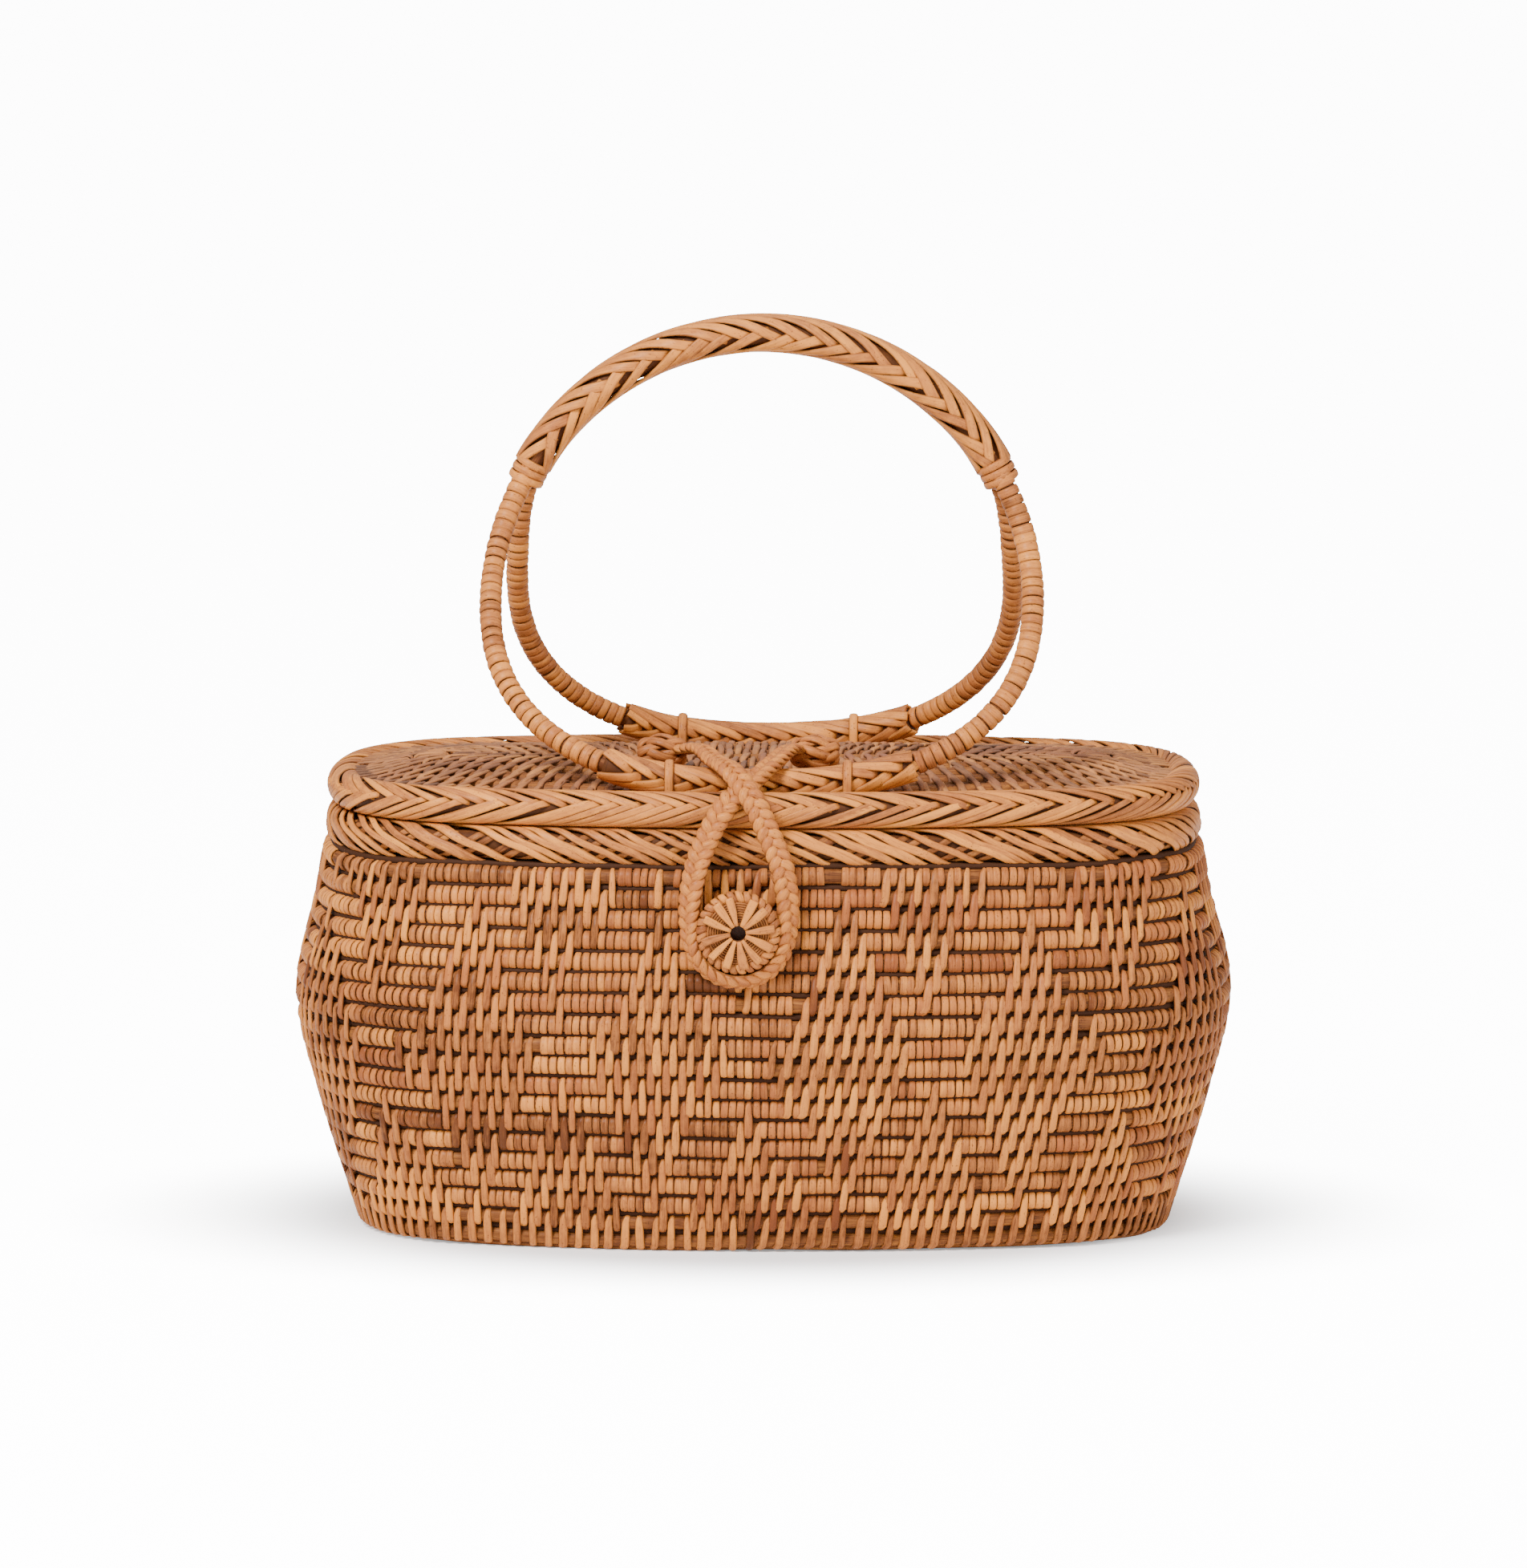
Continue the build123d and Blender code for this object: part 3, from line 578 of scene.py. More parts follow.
def panel_weave(panel, heaps, rng, keep, painted_shade, pitch, radius, thick, width):
    """Rods in ovals with dark fills between them, the fills' darkness painted shade for the gaps, and strips
    that each bind two rows, staggered by row. The rods and strips also get painted shade by the amount given.

    The last rod is a straight one, from the right end of the middle line to its left end."""
    rods, strips = heaps
    dense = np.linspace(0, OVAL.length, 240, endpoint=False)
    for row in range(panel.rows + 1):
        last = row == panel.rows
        inner = min(row + 1, panel.rows)
        point = panel.place(dense, panel.share[row])
        step = panel.place(dense, panel.share[inner]) - panel.place(dense, panel.share[inner - 1])
        step = np.linalg.norm(step, axis=-1)
        up = upwards(point)
        across = unit(np.cross(unit(np.roll(point, -1, axis=0) - np.roll(point, 1, axis=0)), up))
        pale = rng.uniform(0.4, 0.6)
        closed = keep(point).all() and not last
        quarter = len(dense) // 4
        # Each bar is (share, radius, painted shade, breadth): the rod gets 0.3 more than the given painted
        # shade, the fill between rows 0.75.
        bars = [(panel.share[row], radius, 0.3 + painted_shade, 0.40)]
        if not last:
            bars.append(((panel.share[row] + panel.share[row + 1]) / 2, 0.55 * radius, 0.75, 0.22))
        for share, high, dark, breadth in bars:
            point = panel.place(dense, share)
            for pick in [np.arange(quarter + 2, 3 * quarter - 1)] if last else pieces_of(keep(point)):
                tube(rods, point[pick][None], across[pick][None], up[pick][None], high,
                     [pale, 0.15, dark], rng, closed=closed, sides=8, spread=breadth * step[pick][None])
        if last:
            break
        run = panel.row_run(row, pitch, 0.5 * (row % 2))
        run = run + rng.normal(0, 0.05 * pitch, run.shape)
        first, second = panel.place(run, panel.share[row]), panel.place(run, panel.share[row + 1])
        ok = keep(first) & keep(second)
        first, second, run = first[ok], second[ok], run[ok]
        step = np.linalg.norm(second - first, axis=-1)
        # A strip's blunt end lies towards the front, so behind the middle line it binds the other way round.
        front = first[:, 1] < 0
        near, far = np.where(front[:, None], second, first), np.where(front[:, None], first, second)
        down = unit(far - near)
        up = upwards(down)
        tone = run_tones(np.full(len(run), row), run, rng)
        # Painted shade on the strips: the given amount, varied from strip to strip.
        tone[:, 2] = painted_shade * rng.uniform(0.2, 1.6, len(run))
        size = len(run)
        strip_loops(strips, near, far, down, up, unit(np.cross(up, down)), radius,
                    width * rng.normal(1.0, 0.1, size), thick, tone, rng.normal(0.25 * MM, 0.25 * MM, size),
                    rng, LONG_TURNS, blunt=0.7 * MM, spread=0.42 * step)


class BASKET_OT_base(bpy.types.Operator):
    """Coils the base"""

    bl_idname = "basket.base"
    bl_label = "Base"

    def execute(self, context):
        weave = context.scene.basket_weave
        rng = np.random.default_rng(12)
        depth = weave.rod_radius + weave.strip_thickness
        offset = -16.0 * MM - depth
        rows = int(round((HALF_DEPTH + offset) / (6.1 * MM)))
        panel = Panel(offset, depth + 0.4 * MM, rows, HALF_LENGTH - HALF_DEPTH)
        rods, strips = Heap(), Heap()
        # The base's weave gets 0.1 of painted shade.
        panel_weave(panel, (rods, strips), rng, lambda p: p[..., 0] < 9, 0.1, 2 * weave.slot_pitch,
                    weave.rod_radius, weave.strip_thickness, weave.strip_width)
        rods.build("base_rods", "basket", ["base_panel"], "wall_weave",
                   rattan("wall rods", context, fibre=0.7))
        strips.build("base_strips", "basket", [], "wall_weave", rattan("wall strips", context))
        return {"FINISHED"}


class BASKET_OT_lid(bpy.types.Operator):
    """Coils the lid's panel and its collar, open where the hinge lashings pass"""

    bl_idname = "basket.lid"
    bl_label = "Lid panel and collar"

    def execute(self, context):
        weave = context.scene.basket_weave
        rng = np.random.default_rng(13)
        depth = weave.rod_radius + weave.strip_thickness
        low, high = lowest("hinge_lashing_right"), highest("hinge_lashing_right")
        middle, half = (low[0] + high[0]) / 2, (high[0] - low[0]) / 2
        inner = low[1] - 1.6 * MM

        def clear(point):
            near = np.abs(np.abs(point[..., 0]) - middle) < half + 2.0 * MM
            return ~(near & (point[..., 1] + depth > inner))

        border = LID_TOP - LID_BOTTOM
        panel = Panel(-0.76 * border, LID_TOP - 0.7 * MM - depth, weave.lid_rows, 0.67 * HALF_LENGTH,
                      rise=4.0 * MM, dip=3.0 * MM)
        rods, strips = Heap(), Heap()
        # The lid's weave gets 0.2 of painted shade.
        panel_weave(panel, (rods, strips), rng, clear, 0.2, 5.2 * MM, weave.rod_radius - 0.2 * MM,
                    weave.strip_thickness, weave.strip_width)
        rods.build("lid_rods", "lid", ["lid_panel"], "lid_weave", rattan("lid rods", context, fibre=0.7))
        strips.build("lid_strips", "lid", [], "lid_weave", rattan("lid strips", context, grey=0.25))

        collar = Heap()
        offset = highest("lid_collar")[1] - HALF_DEPTH - 2.0 * MM
        thin = 1.45 * MM
        heights = [PANEL_BOTTOM - 0.5 * MM - thin, COLLAR_BOTTOM + 0.5 * MM + thin]
        slots = int(OVAL.length / (2 * weave.slot_pitch))
        run = np.arange(slots) * OVAL.length / slots
        first, along, out = OVAL.place(run, offset, heights[0])
        second = OVAL.place(run, offset, heights[1])[0]
        ok = clear(first)
        size = int(ok.sum())
        tone = run_tones(np.zeros(size, int), run[ok], rng)
        down = np.broadcast_to(-UP, first.shape)
        strip_loops(collar, first[ok], second[ok], down[ok], out[ok], along[ok], thin,
                    np.full(size, 2.3 * MM), 0.5 * MM, tone, rng.normal(0.3 * MM, 0.1 * MM, size), rng,
                    LONG_TURNS)
        dense = np.linspace(0, OVAL.length, 400, endpoint=False)
        for height in heights:
            point, _, out = OVAL.place(dense, offset, height)
            for pick in pieces_of(clear(point)):
                # The collar's rods get 0.3 of painted shade.
                tube(collar, point[pick][None], out[pick][None], upwards(out[pick])[None],
                     thin, [0.4, 0.1, 0.3], rng, closed=False, sides=8)
        collar.build("lid_collar_coil", "lid", ["lid_collar"], "lid_weave",
                     rattan("lid strips", context, grey=0.25))
        return {"FINISHED"}


# ---- Plaited rims and sleeves ----
def section_reach(turn, wide, high, power):
    """A rounded section's point and outward direction at an angle.

    The section is the closed line |x / wide|^power + |y / high|^power = 1."""
    c, s = np.cos(turn), np.sin(turn)
    reach = (np.abs(c / wide) ** power + np.abs(s / high) ** power) ** (-1 / power)
    x, y = reach * c, reach * s
    nx = np.sign(x) * np.abs(x / wide) ** (power - 1) / wide
    ny = np.sign(y) * np.abs(y / high) ** (power - 1) / high
    size = np.hypot(nx, ny)
    return x, y, nx / size, ny / size


def on_section(place, run, turn, shape):
    """Points at distances along a line and angles round a rounded section, with the normals there."""
    x, y, nx, ny = section_reach(turn, *shape)
    centre, front, up = place(run)
    return (centre + front * x[..., None] + up * y[..., None],
            front * nx[..., None] + up * ny[..., None])


def plaited(heap, place, starts, length, turns, shape, lift, width, thick, tone, rng, steps=18, ends=0.12,
            blunt=False, ragged=0.0):
    """Strips that climb round a rim while they run along it.

    Strip k starts at a distance along the rim and goes on for a length, and its angle round the section
    goes from one turn to the other. lift is its height above the core, and its ends dip below that, except
    that a blunt strip's last end stays out. ragged is how much the strips differ in length."""
    share = np.linspace(0, 1, steps) * (1 + ragged * rng.normal(0, 1, (len(starts), 1)))
    jitter = rng.normal(0, 1, (len(starts), 1))
    run = starts[:, None] + length * (1 + 0.04 * jitter) * share
    turn = np.radians(turns[0] + (turns[1] - turns[0]) * share) + 0.03 * jitter
    level = np.linspace(0, 1, steps)
    dip = (level if blunt else np.minimum(level, 1 - level)) / ends
    drop = (1 - smooth_share(dip)) * (lift + 0.9 * MM)
    high = lift - drop + (0.5 * MM * smooth_share(level * 2.5 - 1.5) if blunt else 0)
    path, normal = on_section(place, run, turn, shape)
    path = path + normal * high[None, :, None]
    ribbons(heap, path, normal, width, thick, tone, rng, closed=False, section=FLAT)


def rim_tones(count, rng, pale=0.62, spread=0.13, red=0.1):
    tone = np.stack([
        rng.normal(pale, spread, count), np.abs(rng.normal(red, 0.1, count)), np.zeros(count)], axis=-1)
    return np.clip(tone, 0, 1)


def oval_place(offset, height):
    def place(run):
        point, _, out = OVAL.place(run, offset, height)
        return point, out, upwards(out)
    return place


def core(heap, place, run, shape, tone, closed=False):
    """The bundle of cane below a plait's strips, with the plait's own section."""
    turn = full_turn(20)
    points = on_section(place, run[:, None], turn, shape)[0]
    lay = np.zeros(points.shape)
    lay[..., 0], lay[..., 1] = run[:, None], section_reach(turn, *shape)[0] / shape[0]
    heap.add(points[None], lay[None], np.array(tone), closed)


# Tones of the plaits' cores: their third part, 0.75, is painted shade, darkening the core where it shows
# between the strips.
RIM_CORE, SLEEVE_CORE = (0.3, 0.1, 0.75), (0.3, 0.2, 0.75)


class BASKET_OT_rims(bpy.types.Operator):
    """Plaits the rim of the basket and the border of the lid"""

    bl_idname = "basket.rims"
    bl_label = "Rims"

    def execute(self, context):
        weave = context.scene.basket_weave
        rng = np.random.default_rng(14)
        wide = 5.0 * MM
        high = (RIM_TOP - RIM_BOTTOM) / 2
        thick = 0.75 * MM
        around = np.linspace(0, OVAL.length, 260, endpoint=False)
        place = oval_place(-wide, (RIM_BOTTOM + RIM_TOP) / 2)
        heap = Heap()
        shape = (wide - 2 * thick, high - 2 * thick, 3.0)
        core(heap, place, around, shape, RIM_CORE, closed=True)
        pitch, strip = 6.3 * MM, 0.9 * weave.braid_width
        count = int(OVAL.length / pitch)
        starts = np.arange(count) * OVAL.length / count + rng.normal(0, 1.1 * MM, count)
        under = rim_tones(count, rng, pale=0.42)
        # The strips underneath are darker in tone and get a quarter of painted shade.
        under[:, 2] = 0.25
        plaited(heap, place, starts + 12 * MM, 22 * MM, (-140, 60), shape, 0.0,
                strip, thick, under, rng)
        plaited(heap, place, starts, 43 * MM, (160, -72), shape, 1.2 * thick,
                strip * rng.normal(1.08, 0.1, (count, 1)), 1.15 * thick, rim_tones(count, rng), rng,
                steps=24, ends=0.05, blunt=True, ragged=0.09)
        heap.build("rim_strips", "basket", ["top_border"], "rim_strips", rattan("rim strips", context))

        lid = Heap()
        round_ = (LID_TOP - LID_BOTTOM) / 2
        shape = (round_ - 2 * thick, round_ - 2 * thick, 2.0)
        place = oval_place(-round_, (LID_BOTTOM + LID_TOP) / 2)
        core(lid, place, around, shape, RIM_CORE, closed=True)
        pitch = 6.2 * MM
        count = int(OVAL.length / pitch)
        for phase, length, turns in ((0.0, 38 * MM, (176, 14)), (0.5, 50 * MM, (-182, 33))):
            starts = (np.arange(count) + phase) * OVAL.length / count - length
            starts = starts + rng.normal(0, 0.5 * MM, count)
            plaited(lid, place, starts, length, turns, shape, thick,
                    strip * rng.normal(1.0, 0.08, (count, 1)), thick,
                    rim_tones(count, rng, pale=0.62), rng, steps=28, ends=0.07)
        lid.build("lid_border_plait", "lid", ["lid_border"], "border_braid", rattan("border plait", context))
        return {"FINISHED"}


# ---- The handle ----
class Line:
    """A line of points with its own length, read at any distance along it."""

    def __init__(self, points, out):
        self.points, self.out = points, unit(out)
        self.run = np.concatenate([[0], np.cumsum(np.linalg.norm(np.diff(points, axis=0), axis=1))])
        self.length = self.run[-1]
        self.along = unit(np.gradient(points, axis=0))

    def read(self, values, run):
        return np.stack([np.interp(run, self.run, values[:, k]) for k in range(3)], axis=-1)

    def frame(self, run):
        """(point, along, outwards, aside), with the last three square to each other."""
        along = unit(self.read(self.along, run))
        out = self.read(self.out, run)
        out = unit(out - along * np.sum(out * along, axis=-1, keepdims=True))
        return self.read(self.points, run), along, out, np.cross(along, out)


def hoop_line(sign, narrowing):
    """A hoop from its foot's middle up the right side, over the grip and down the left side.

    In its own bent plane it is a half circle above and a squarer oval below. Down that plane the hoop
    first hangs straight, then curves forward to a steady slope, which brings its foot to the lid."""
    spacing, top_radius, rounding = 8.4 * MM, 80.0 * MM, 2.4
    start, ramp = 28.0 * MM, 47.0 * MM
    foot_z = PANEL_EDGE_TOP + HOOP_WRAP + 0.2 * MM
    tall, spread = 128.0 * MM, (FEET_APART - spacing) / 2
    low, high = 0.01, 1.4
    for _ in range(50):
        slope = (low + high) / 2
        straight = tall - start - ramp * math.sin(slope) / slope
        reach = ramp * (1 - math.cos(slope)) / slope + straight * math.tan(slope)
        low, high = (slope, high) if reach < spread else (low, slope)
    height = start + ramp + straight / math.cos(slope)
    turn = np.linspace(0, np.pi / 2, 500)
    aside = np.concatenate([top_radius * np.sin(turn), top_radius * np.cos(turn[1:]) ** (2 / rounding)])
    down = np.concatenate([top_radius * (1 - np.cos(turn)),
                           top_radius + (height - top_radius) * np.sin(turn[1:]) ** (2 / rounding)])
    aside = np.maximum(aside, 0)
    angle = slope * np.clip(down - start, 0, ramp) / ramp
    rest = np.maximum(down - start - ramp, 0)
    forward = ramp / slope * (1 - np.cos(angle)) + rest * math.sin(slope)
    drop = np.minimum(down, start) + ramp / slope * np.sin(angle) + rest * math.cos(slope)
    width = 1 - narrowing * smooth_share((down - start) / ramp)
    half = np.stack([aside * width, sign * (spacing / 2 + forward), foot_z + tall - drop], axis=-1)
    points = np.concatenate([half[::-1], (half * [-1, 1, 1])[1:]])
    centre = np.array([0, 0, foot_z + tall - top_radius])
    out = points - centre
    out[:, 1] = 0
    return Line(points, out)


FRONT_HOOP = hoop_line(-1, 0.0)
REAR_HOOP = hoop_line(1, 0.07)
SPANS, GRIP_SPANS, FOOT_SPANS = 13, 4.5, 2.5


def ring_wraps(heap, line, start, end, pitch, radius, width, thick, tone, rng, slant=0.5 * MM, around=14):
    """Rings of strip side by side round a rod, each leaning a little along it."""
    count = int((end - start) / pitch)
    run = start + (np.arange(count) + 0.5) * (end - start) / count + rng.normal(0, 0.08 * MM, count)
    point, along, out, aside = line.frame(run)
    turn = full_turn(around)
    way = out[:, None] * np.cos(turn)[:, None] + aside[:, None] * np.sin(turn)[:, None]
    shift = (slant + rng.normal(0, 0.12 * MM, (count, 1))) * np.sin(turn)
    path = point[:, None] + way * radius + along[:, None] * shift[..., None]
    wide = width * rng.normal(1, 0.05, (count, 1))
    ribbons(heap, path, way, wide, thick * rng.uniform(0.9, 1.1, (count, 1)), tone(count), rng, section=FLAT)


def hoop_tones(rng):
    def tones(count):
        stretch = np.repeat(rng.normal(0.52, 0.12, count // 5 + 2), 5)[:count]
        tone = np.stack([
            stretch + rng.normal(0, 0.07, count), np.abs(rng.normal(0.08, 0.12, count)), np.zeros(count)], -1)
        return np.clip(tone, 0, 1)
    return tones


class BASKET_OT_handle(bpy.types.Operator):
    """Bends the hoops, winds strips on their legs and plaits the grip"""

    bl_idname = "basket.handle"
    bl_label = "Handle"

    def execute(self, context):
        rng = np.random.default_rng(15)
        rod_material = rattan("dark rods", context, fibre=0.8)
        wrap_material = rattan("hoop wraps", context)
        for name, line in (("front", FRONT_HOOP), ("rear", REAR_HOOP)):
            step = line.length / (2 * SPANS)
            rods = Heap()
            run = np.linspace(0.2 * MM, line.length - 0.2 * MM, 360)
            point, _, out, aside = line.frame(run)
            # The hoop rods get 0.55 of painted shade.
            tube(rods, point[None], out[None], aside[None], HOOP_ROD, [0.3, 0.3, 0.55], rng, closed=False)
            rods.build(f"{name}_hoop_rod", "lid", [f"{name}_hoop"], "dark_rod", rod_material)
            legs = (("right", FOOT_SPANS, SPANS - GRIP_SPANS),
                    ("left", SPANS + GRIP_SPANS, 2 * SPANS - FOOT_SPANS))
            for side, start, end in legs:
                wraps = Heap()
                pitch = 3.0 * MM if name == "front" else 2.7 * MM
                ring_wraps(wraps, line, start * step, end * step, pitch, HOOP_ROD + 0.05 * MM, pitch * 0.98,
                           HOOP_WRAP - HOOP_ROD, hoop_tones(rng), rng)
                wraps.build(f"{name}_hoop_strips_{side}", "lid", [f"{name}_hoop_wrap_{side}"],
                            "hoop_wrap", wrap_material)
        self.grip(context, rng)
        return {"FINISHED"}

    def grip(self, context, rng):
        """The sleeve round both hoops, and a few tight turns at each of its ends."""
        points = (FRONT_HOOP.points + REAR_HOOP.points) / 2
        line = Line(points, FRONT_HOOP.out)
        middle = line.length / 2
        step = FRONT_HOOP.length / (2 * SPANS)
        reach = GRIP_SPANS * step
        thick = 0.8 * MM
        shape = (8.4 * MM - 2 * thick, 5.7 * MM - 2 * thick, 2.4)

        def place(run):
            """The line runs from right to left, so distances are turned round, from left to right."""
            point, _, out, aside = line.frame(middle - run)
            return point, aside * np.sign(-aside[..., 1:2]), out

        heap = Heap()
        core(heap, place, np.linspace(-reach, reach, 60), shape, SLEEVE_CORE)
        sleeve(heap, place, reach - 0.5 * MM, shape, pitch=8.6 * MM, length=62 * MM, width=3.0 * MM,
               thick=thick, rng=rng)
        heap.build("grip_plait", "lid", ["grip_braid"], "grip_plait", rattan("grip plait", context))
        for side, sign in (("right", 1), ("left", -1)):
            band = Heap()
            for k in range(3):
                band_round(band, place, sign * (reach + (k - 0.6) * 2.4 * MM), (8.2 * MM, 4.7 * MM, 2.4),
                           2.5 * MM, thick, rng)
            band.build(f"grip_band_strips_{side}", "lid", [f"grip_band_{side}"], "grip_plait",
                       rattan("grip plait", context))


# ---- Feet, lashings, strap, knots and button ----
def sleeve(heap, place, reach, shape, pitch, length, width, thick, rng, turns=(188, -9)):
    """A plaited sleeve from -reach to reach along a line: two sets of strips climb it from either side.

    Every strip's angle round the section goes evenly with its way along the line. Both sets meet in a row
    of points in the middle of the front, where each strip dips under the next one of the other set."""
    steps = 34
    for phase, sign in ((0.0, 1), (0.5, -1)):
        starts = np.arange(-reach - length * 0.95, reach - length * 0.08, pitch) + phase * pitch
        starts = starts + rng.normal(0, 0.06 * pitch, len(starts))
        for start in starts:
            run = start + length * np.linspace(0, 1, steps)
            beyond = np.maximum(-reach - run, 0) + np.maximum(run - reach, 0)
            pick = np.flatnonzero(beyond < 1e-9)
            if len(pick) < 5:
                continue
            again = np.linspace(pick[0], pick[-1], 24) / (steps - 1)
            run = start + length * again
            turn = np.radians(turns[0] + (turns[1] - turns[0]) * again) * sign + 0.04 * rng.normal()
            dip = np.minimum(again, 1 - again) / 0.07
            lift = thick * rng.uniform(0.85, 1.15) - (1 - smooth_share(dip)) * 1.6 * MM
            path, normal = on_section(place, run, turn, shape)
            path = path + normal * lift[:, None]
            ribbons(heap, path[None], normal[None], width * rng.normal(1, 0.07), thick,
                    rim_tones(1, rng, pale=0.66), rng, closed=False, section=FLAT)


def band_round(heap, place, run, shape, width, thick, rng, around=26):
    """A strip wound once round a bar with a rounded section of this shape."""
    path, normal = on_section(place, np.full(around, run), full_turn(around), shape)
    ribbons(heap, path[None], normal[None], width, thick, rim_tones(1, rng, pale=0.6), rng)


def foot_place(line):
    """The hoop's foot as a line from left to right, measured from its middle."""
    count = 260
    points = np.concatenate([line.points[-count:], line.points[1:count]])
    foot = Line(points, np.concatenate([line.out[-count:], line.out[1:count]]) * -1)
    middle = foot.length / 2

    def place(run):
        point, _, up, aside = foot.frame(run + middle)
        return point, aside * np.sign(-aside[..., 1:2]), up
    return place


def staple(x, y, z, radius, bottom, bend, leg):
    """A closed line over a bar that runs along X, with its outward direction.

    It is a half circle of bend points round (y, z) and, on either side, leg points down to the bottom."""
    turn = np.radians(np.linspace(0, 180, bend))
    arch = np.stack([np.full(bend, x), y + radius * np.cos(turn), z + radius * np.sin(turn)], -1)
    way = np.stack([np.zeros(bend), np.cos(turn), np.sin(turn)], -1)
    fall = z + (bottom - z) * np.linspace(0, 1, leg + 1)[1:]
    left = np.stack([np.full(leg, x), np.full(leg, y - radius), fall], -1)
    right = left[::-1] * [1, 0, 1] + np.array([0, y + radius, 0])
    out = np.concatenate([way, np.tile([0, -1.0, 0], (leg, 1)), np.tile([0, 1.0, 0], (leg, 1))])
    return np.concatenate([arch, left, right])[None], out[None]


class BASKET_OT_feet(bpy.types.Operator):
    """Plaits the sleeves on the hoops' feet and ties them to the lid"""

    bl_idname = "basket.feet"
    bl_label = "Feet"

    def execute(self, context):
        rng = np.random.default_rng(16)
        thick = 0.8 * MM
        for name, line in (("front", FRONT_HOOP), ("rear", REAR_HOOP)):
            place = foot_place(line)
            reach = FOOT_SPANS * line.length / (2 * SPANS)
            shape = (4.7 * MM - 1.8 * thick, 4.7 * MM - 1.8 * thick, 2.0)
            heap = Heap()
            core(heap, place, np.linspace(-reach + 1 * MM, reach - 1 * MM, 60), shape, SLEEVE_CORE)
            sleeve(heap, place, reach, shape, pitch=7.2 * MM, length=44 * MM, width=2.9 * MM,
                   thick=thick, rng=rng, turns=(200, 6))
            heap.build(f"{name}_foot_plait", "lid", [f"{name}_foot_braid"], "grip_plait",
                       rattan("grip plait", context))
            ties = Heap()
            middle = middle_of(f"{name}_foot_ties")[0]
            outer = highest(f"{name}_foot_ties")[0] - 1.5 * MM
            bottom = PANEL_BOTTOM - 0.4 * MM
            for side in (-1, 1):
                x = middle + side * (outer - middle)
                _, y, z = place(np.array([x]))[0][0]
                path, out = staple(x, y, z, 5.35 * MM, bottom, 13, 4)
                ribbons(ties, path, out, 2.8 * MM, thick, rim_tones(1, rng, pale=0.6), rng)
            ties.build(f"{name}_foot_tie_strips", "lid", [f"{name}_foot_ties"], "grip_plait",
                       rattan("grip plait", context))
        return {"FINISHED"}


class BASKET_OT_lashings(bpy.types.Operator):
    """Winds the hinge lashings round the lid's border"""

    bl_idname = "basket.lashings"
    bl_label = "Hinge lashings"

    def execute(self, context):
        rng = np.random.default_rng(17)
        for side in ("left", "right"):
            low, high = lowest(f"hinge_lashing_{side}"), highest(f"hinge_lashing_{side}")
            thick = 1.2 * MM
            outer = (high[1] - low[1]) / 2
            radius = outer - thick
            y, z = (high[1] + low[1]) / 2, high[2] - outer
            bottom = low[2] + thick
            heap = Heap()
            for shift in (-2.0, 0.0, 2.0):
                path, out = staple((low[0] + high[0]) / 2 + shift * MM, y, z, radius, bottom, 17, 6)
                ribbons(heap, path, out, 1.95 * MM, thick, rim_tones(1, rng, pale=0.6), rng)
            heap.build(f"hinge_strips_{side}", "basket", [f"hinge_lashing_{side}"], "rim_strips",
                       rattan("rim strips", context))
        return {"FINISHED"}


def three_plait(heap, centre, side, out, run, period, half, rise, width, thick, rng):
    """A plait of three strips: each swings half to either side once a period and rises twice as often."""
    for strand in range(3):
        phase = 2 * np.pi * (run / period + strand / 3)
        path = centre + side * (half * np.sin(phase))[:, None] + out * (rise * np.sin(2 * phase))[:, None]
        tilt = out + side * (0.35 * np.sin(phase))[:, None]
        tone = rim_tones(1, rng, pale=0.62, spread=0.08, red=0.15)
        ribbons(heap, path[None], unit(tilt)[None], width, thick, tone, rng, closed=False)


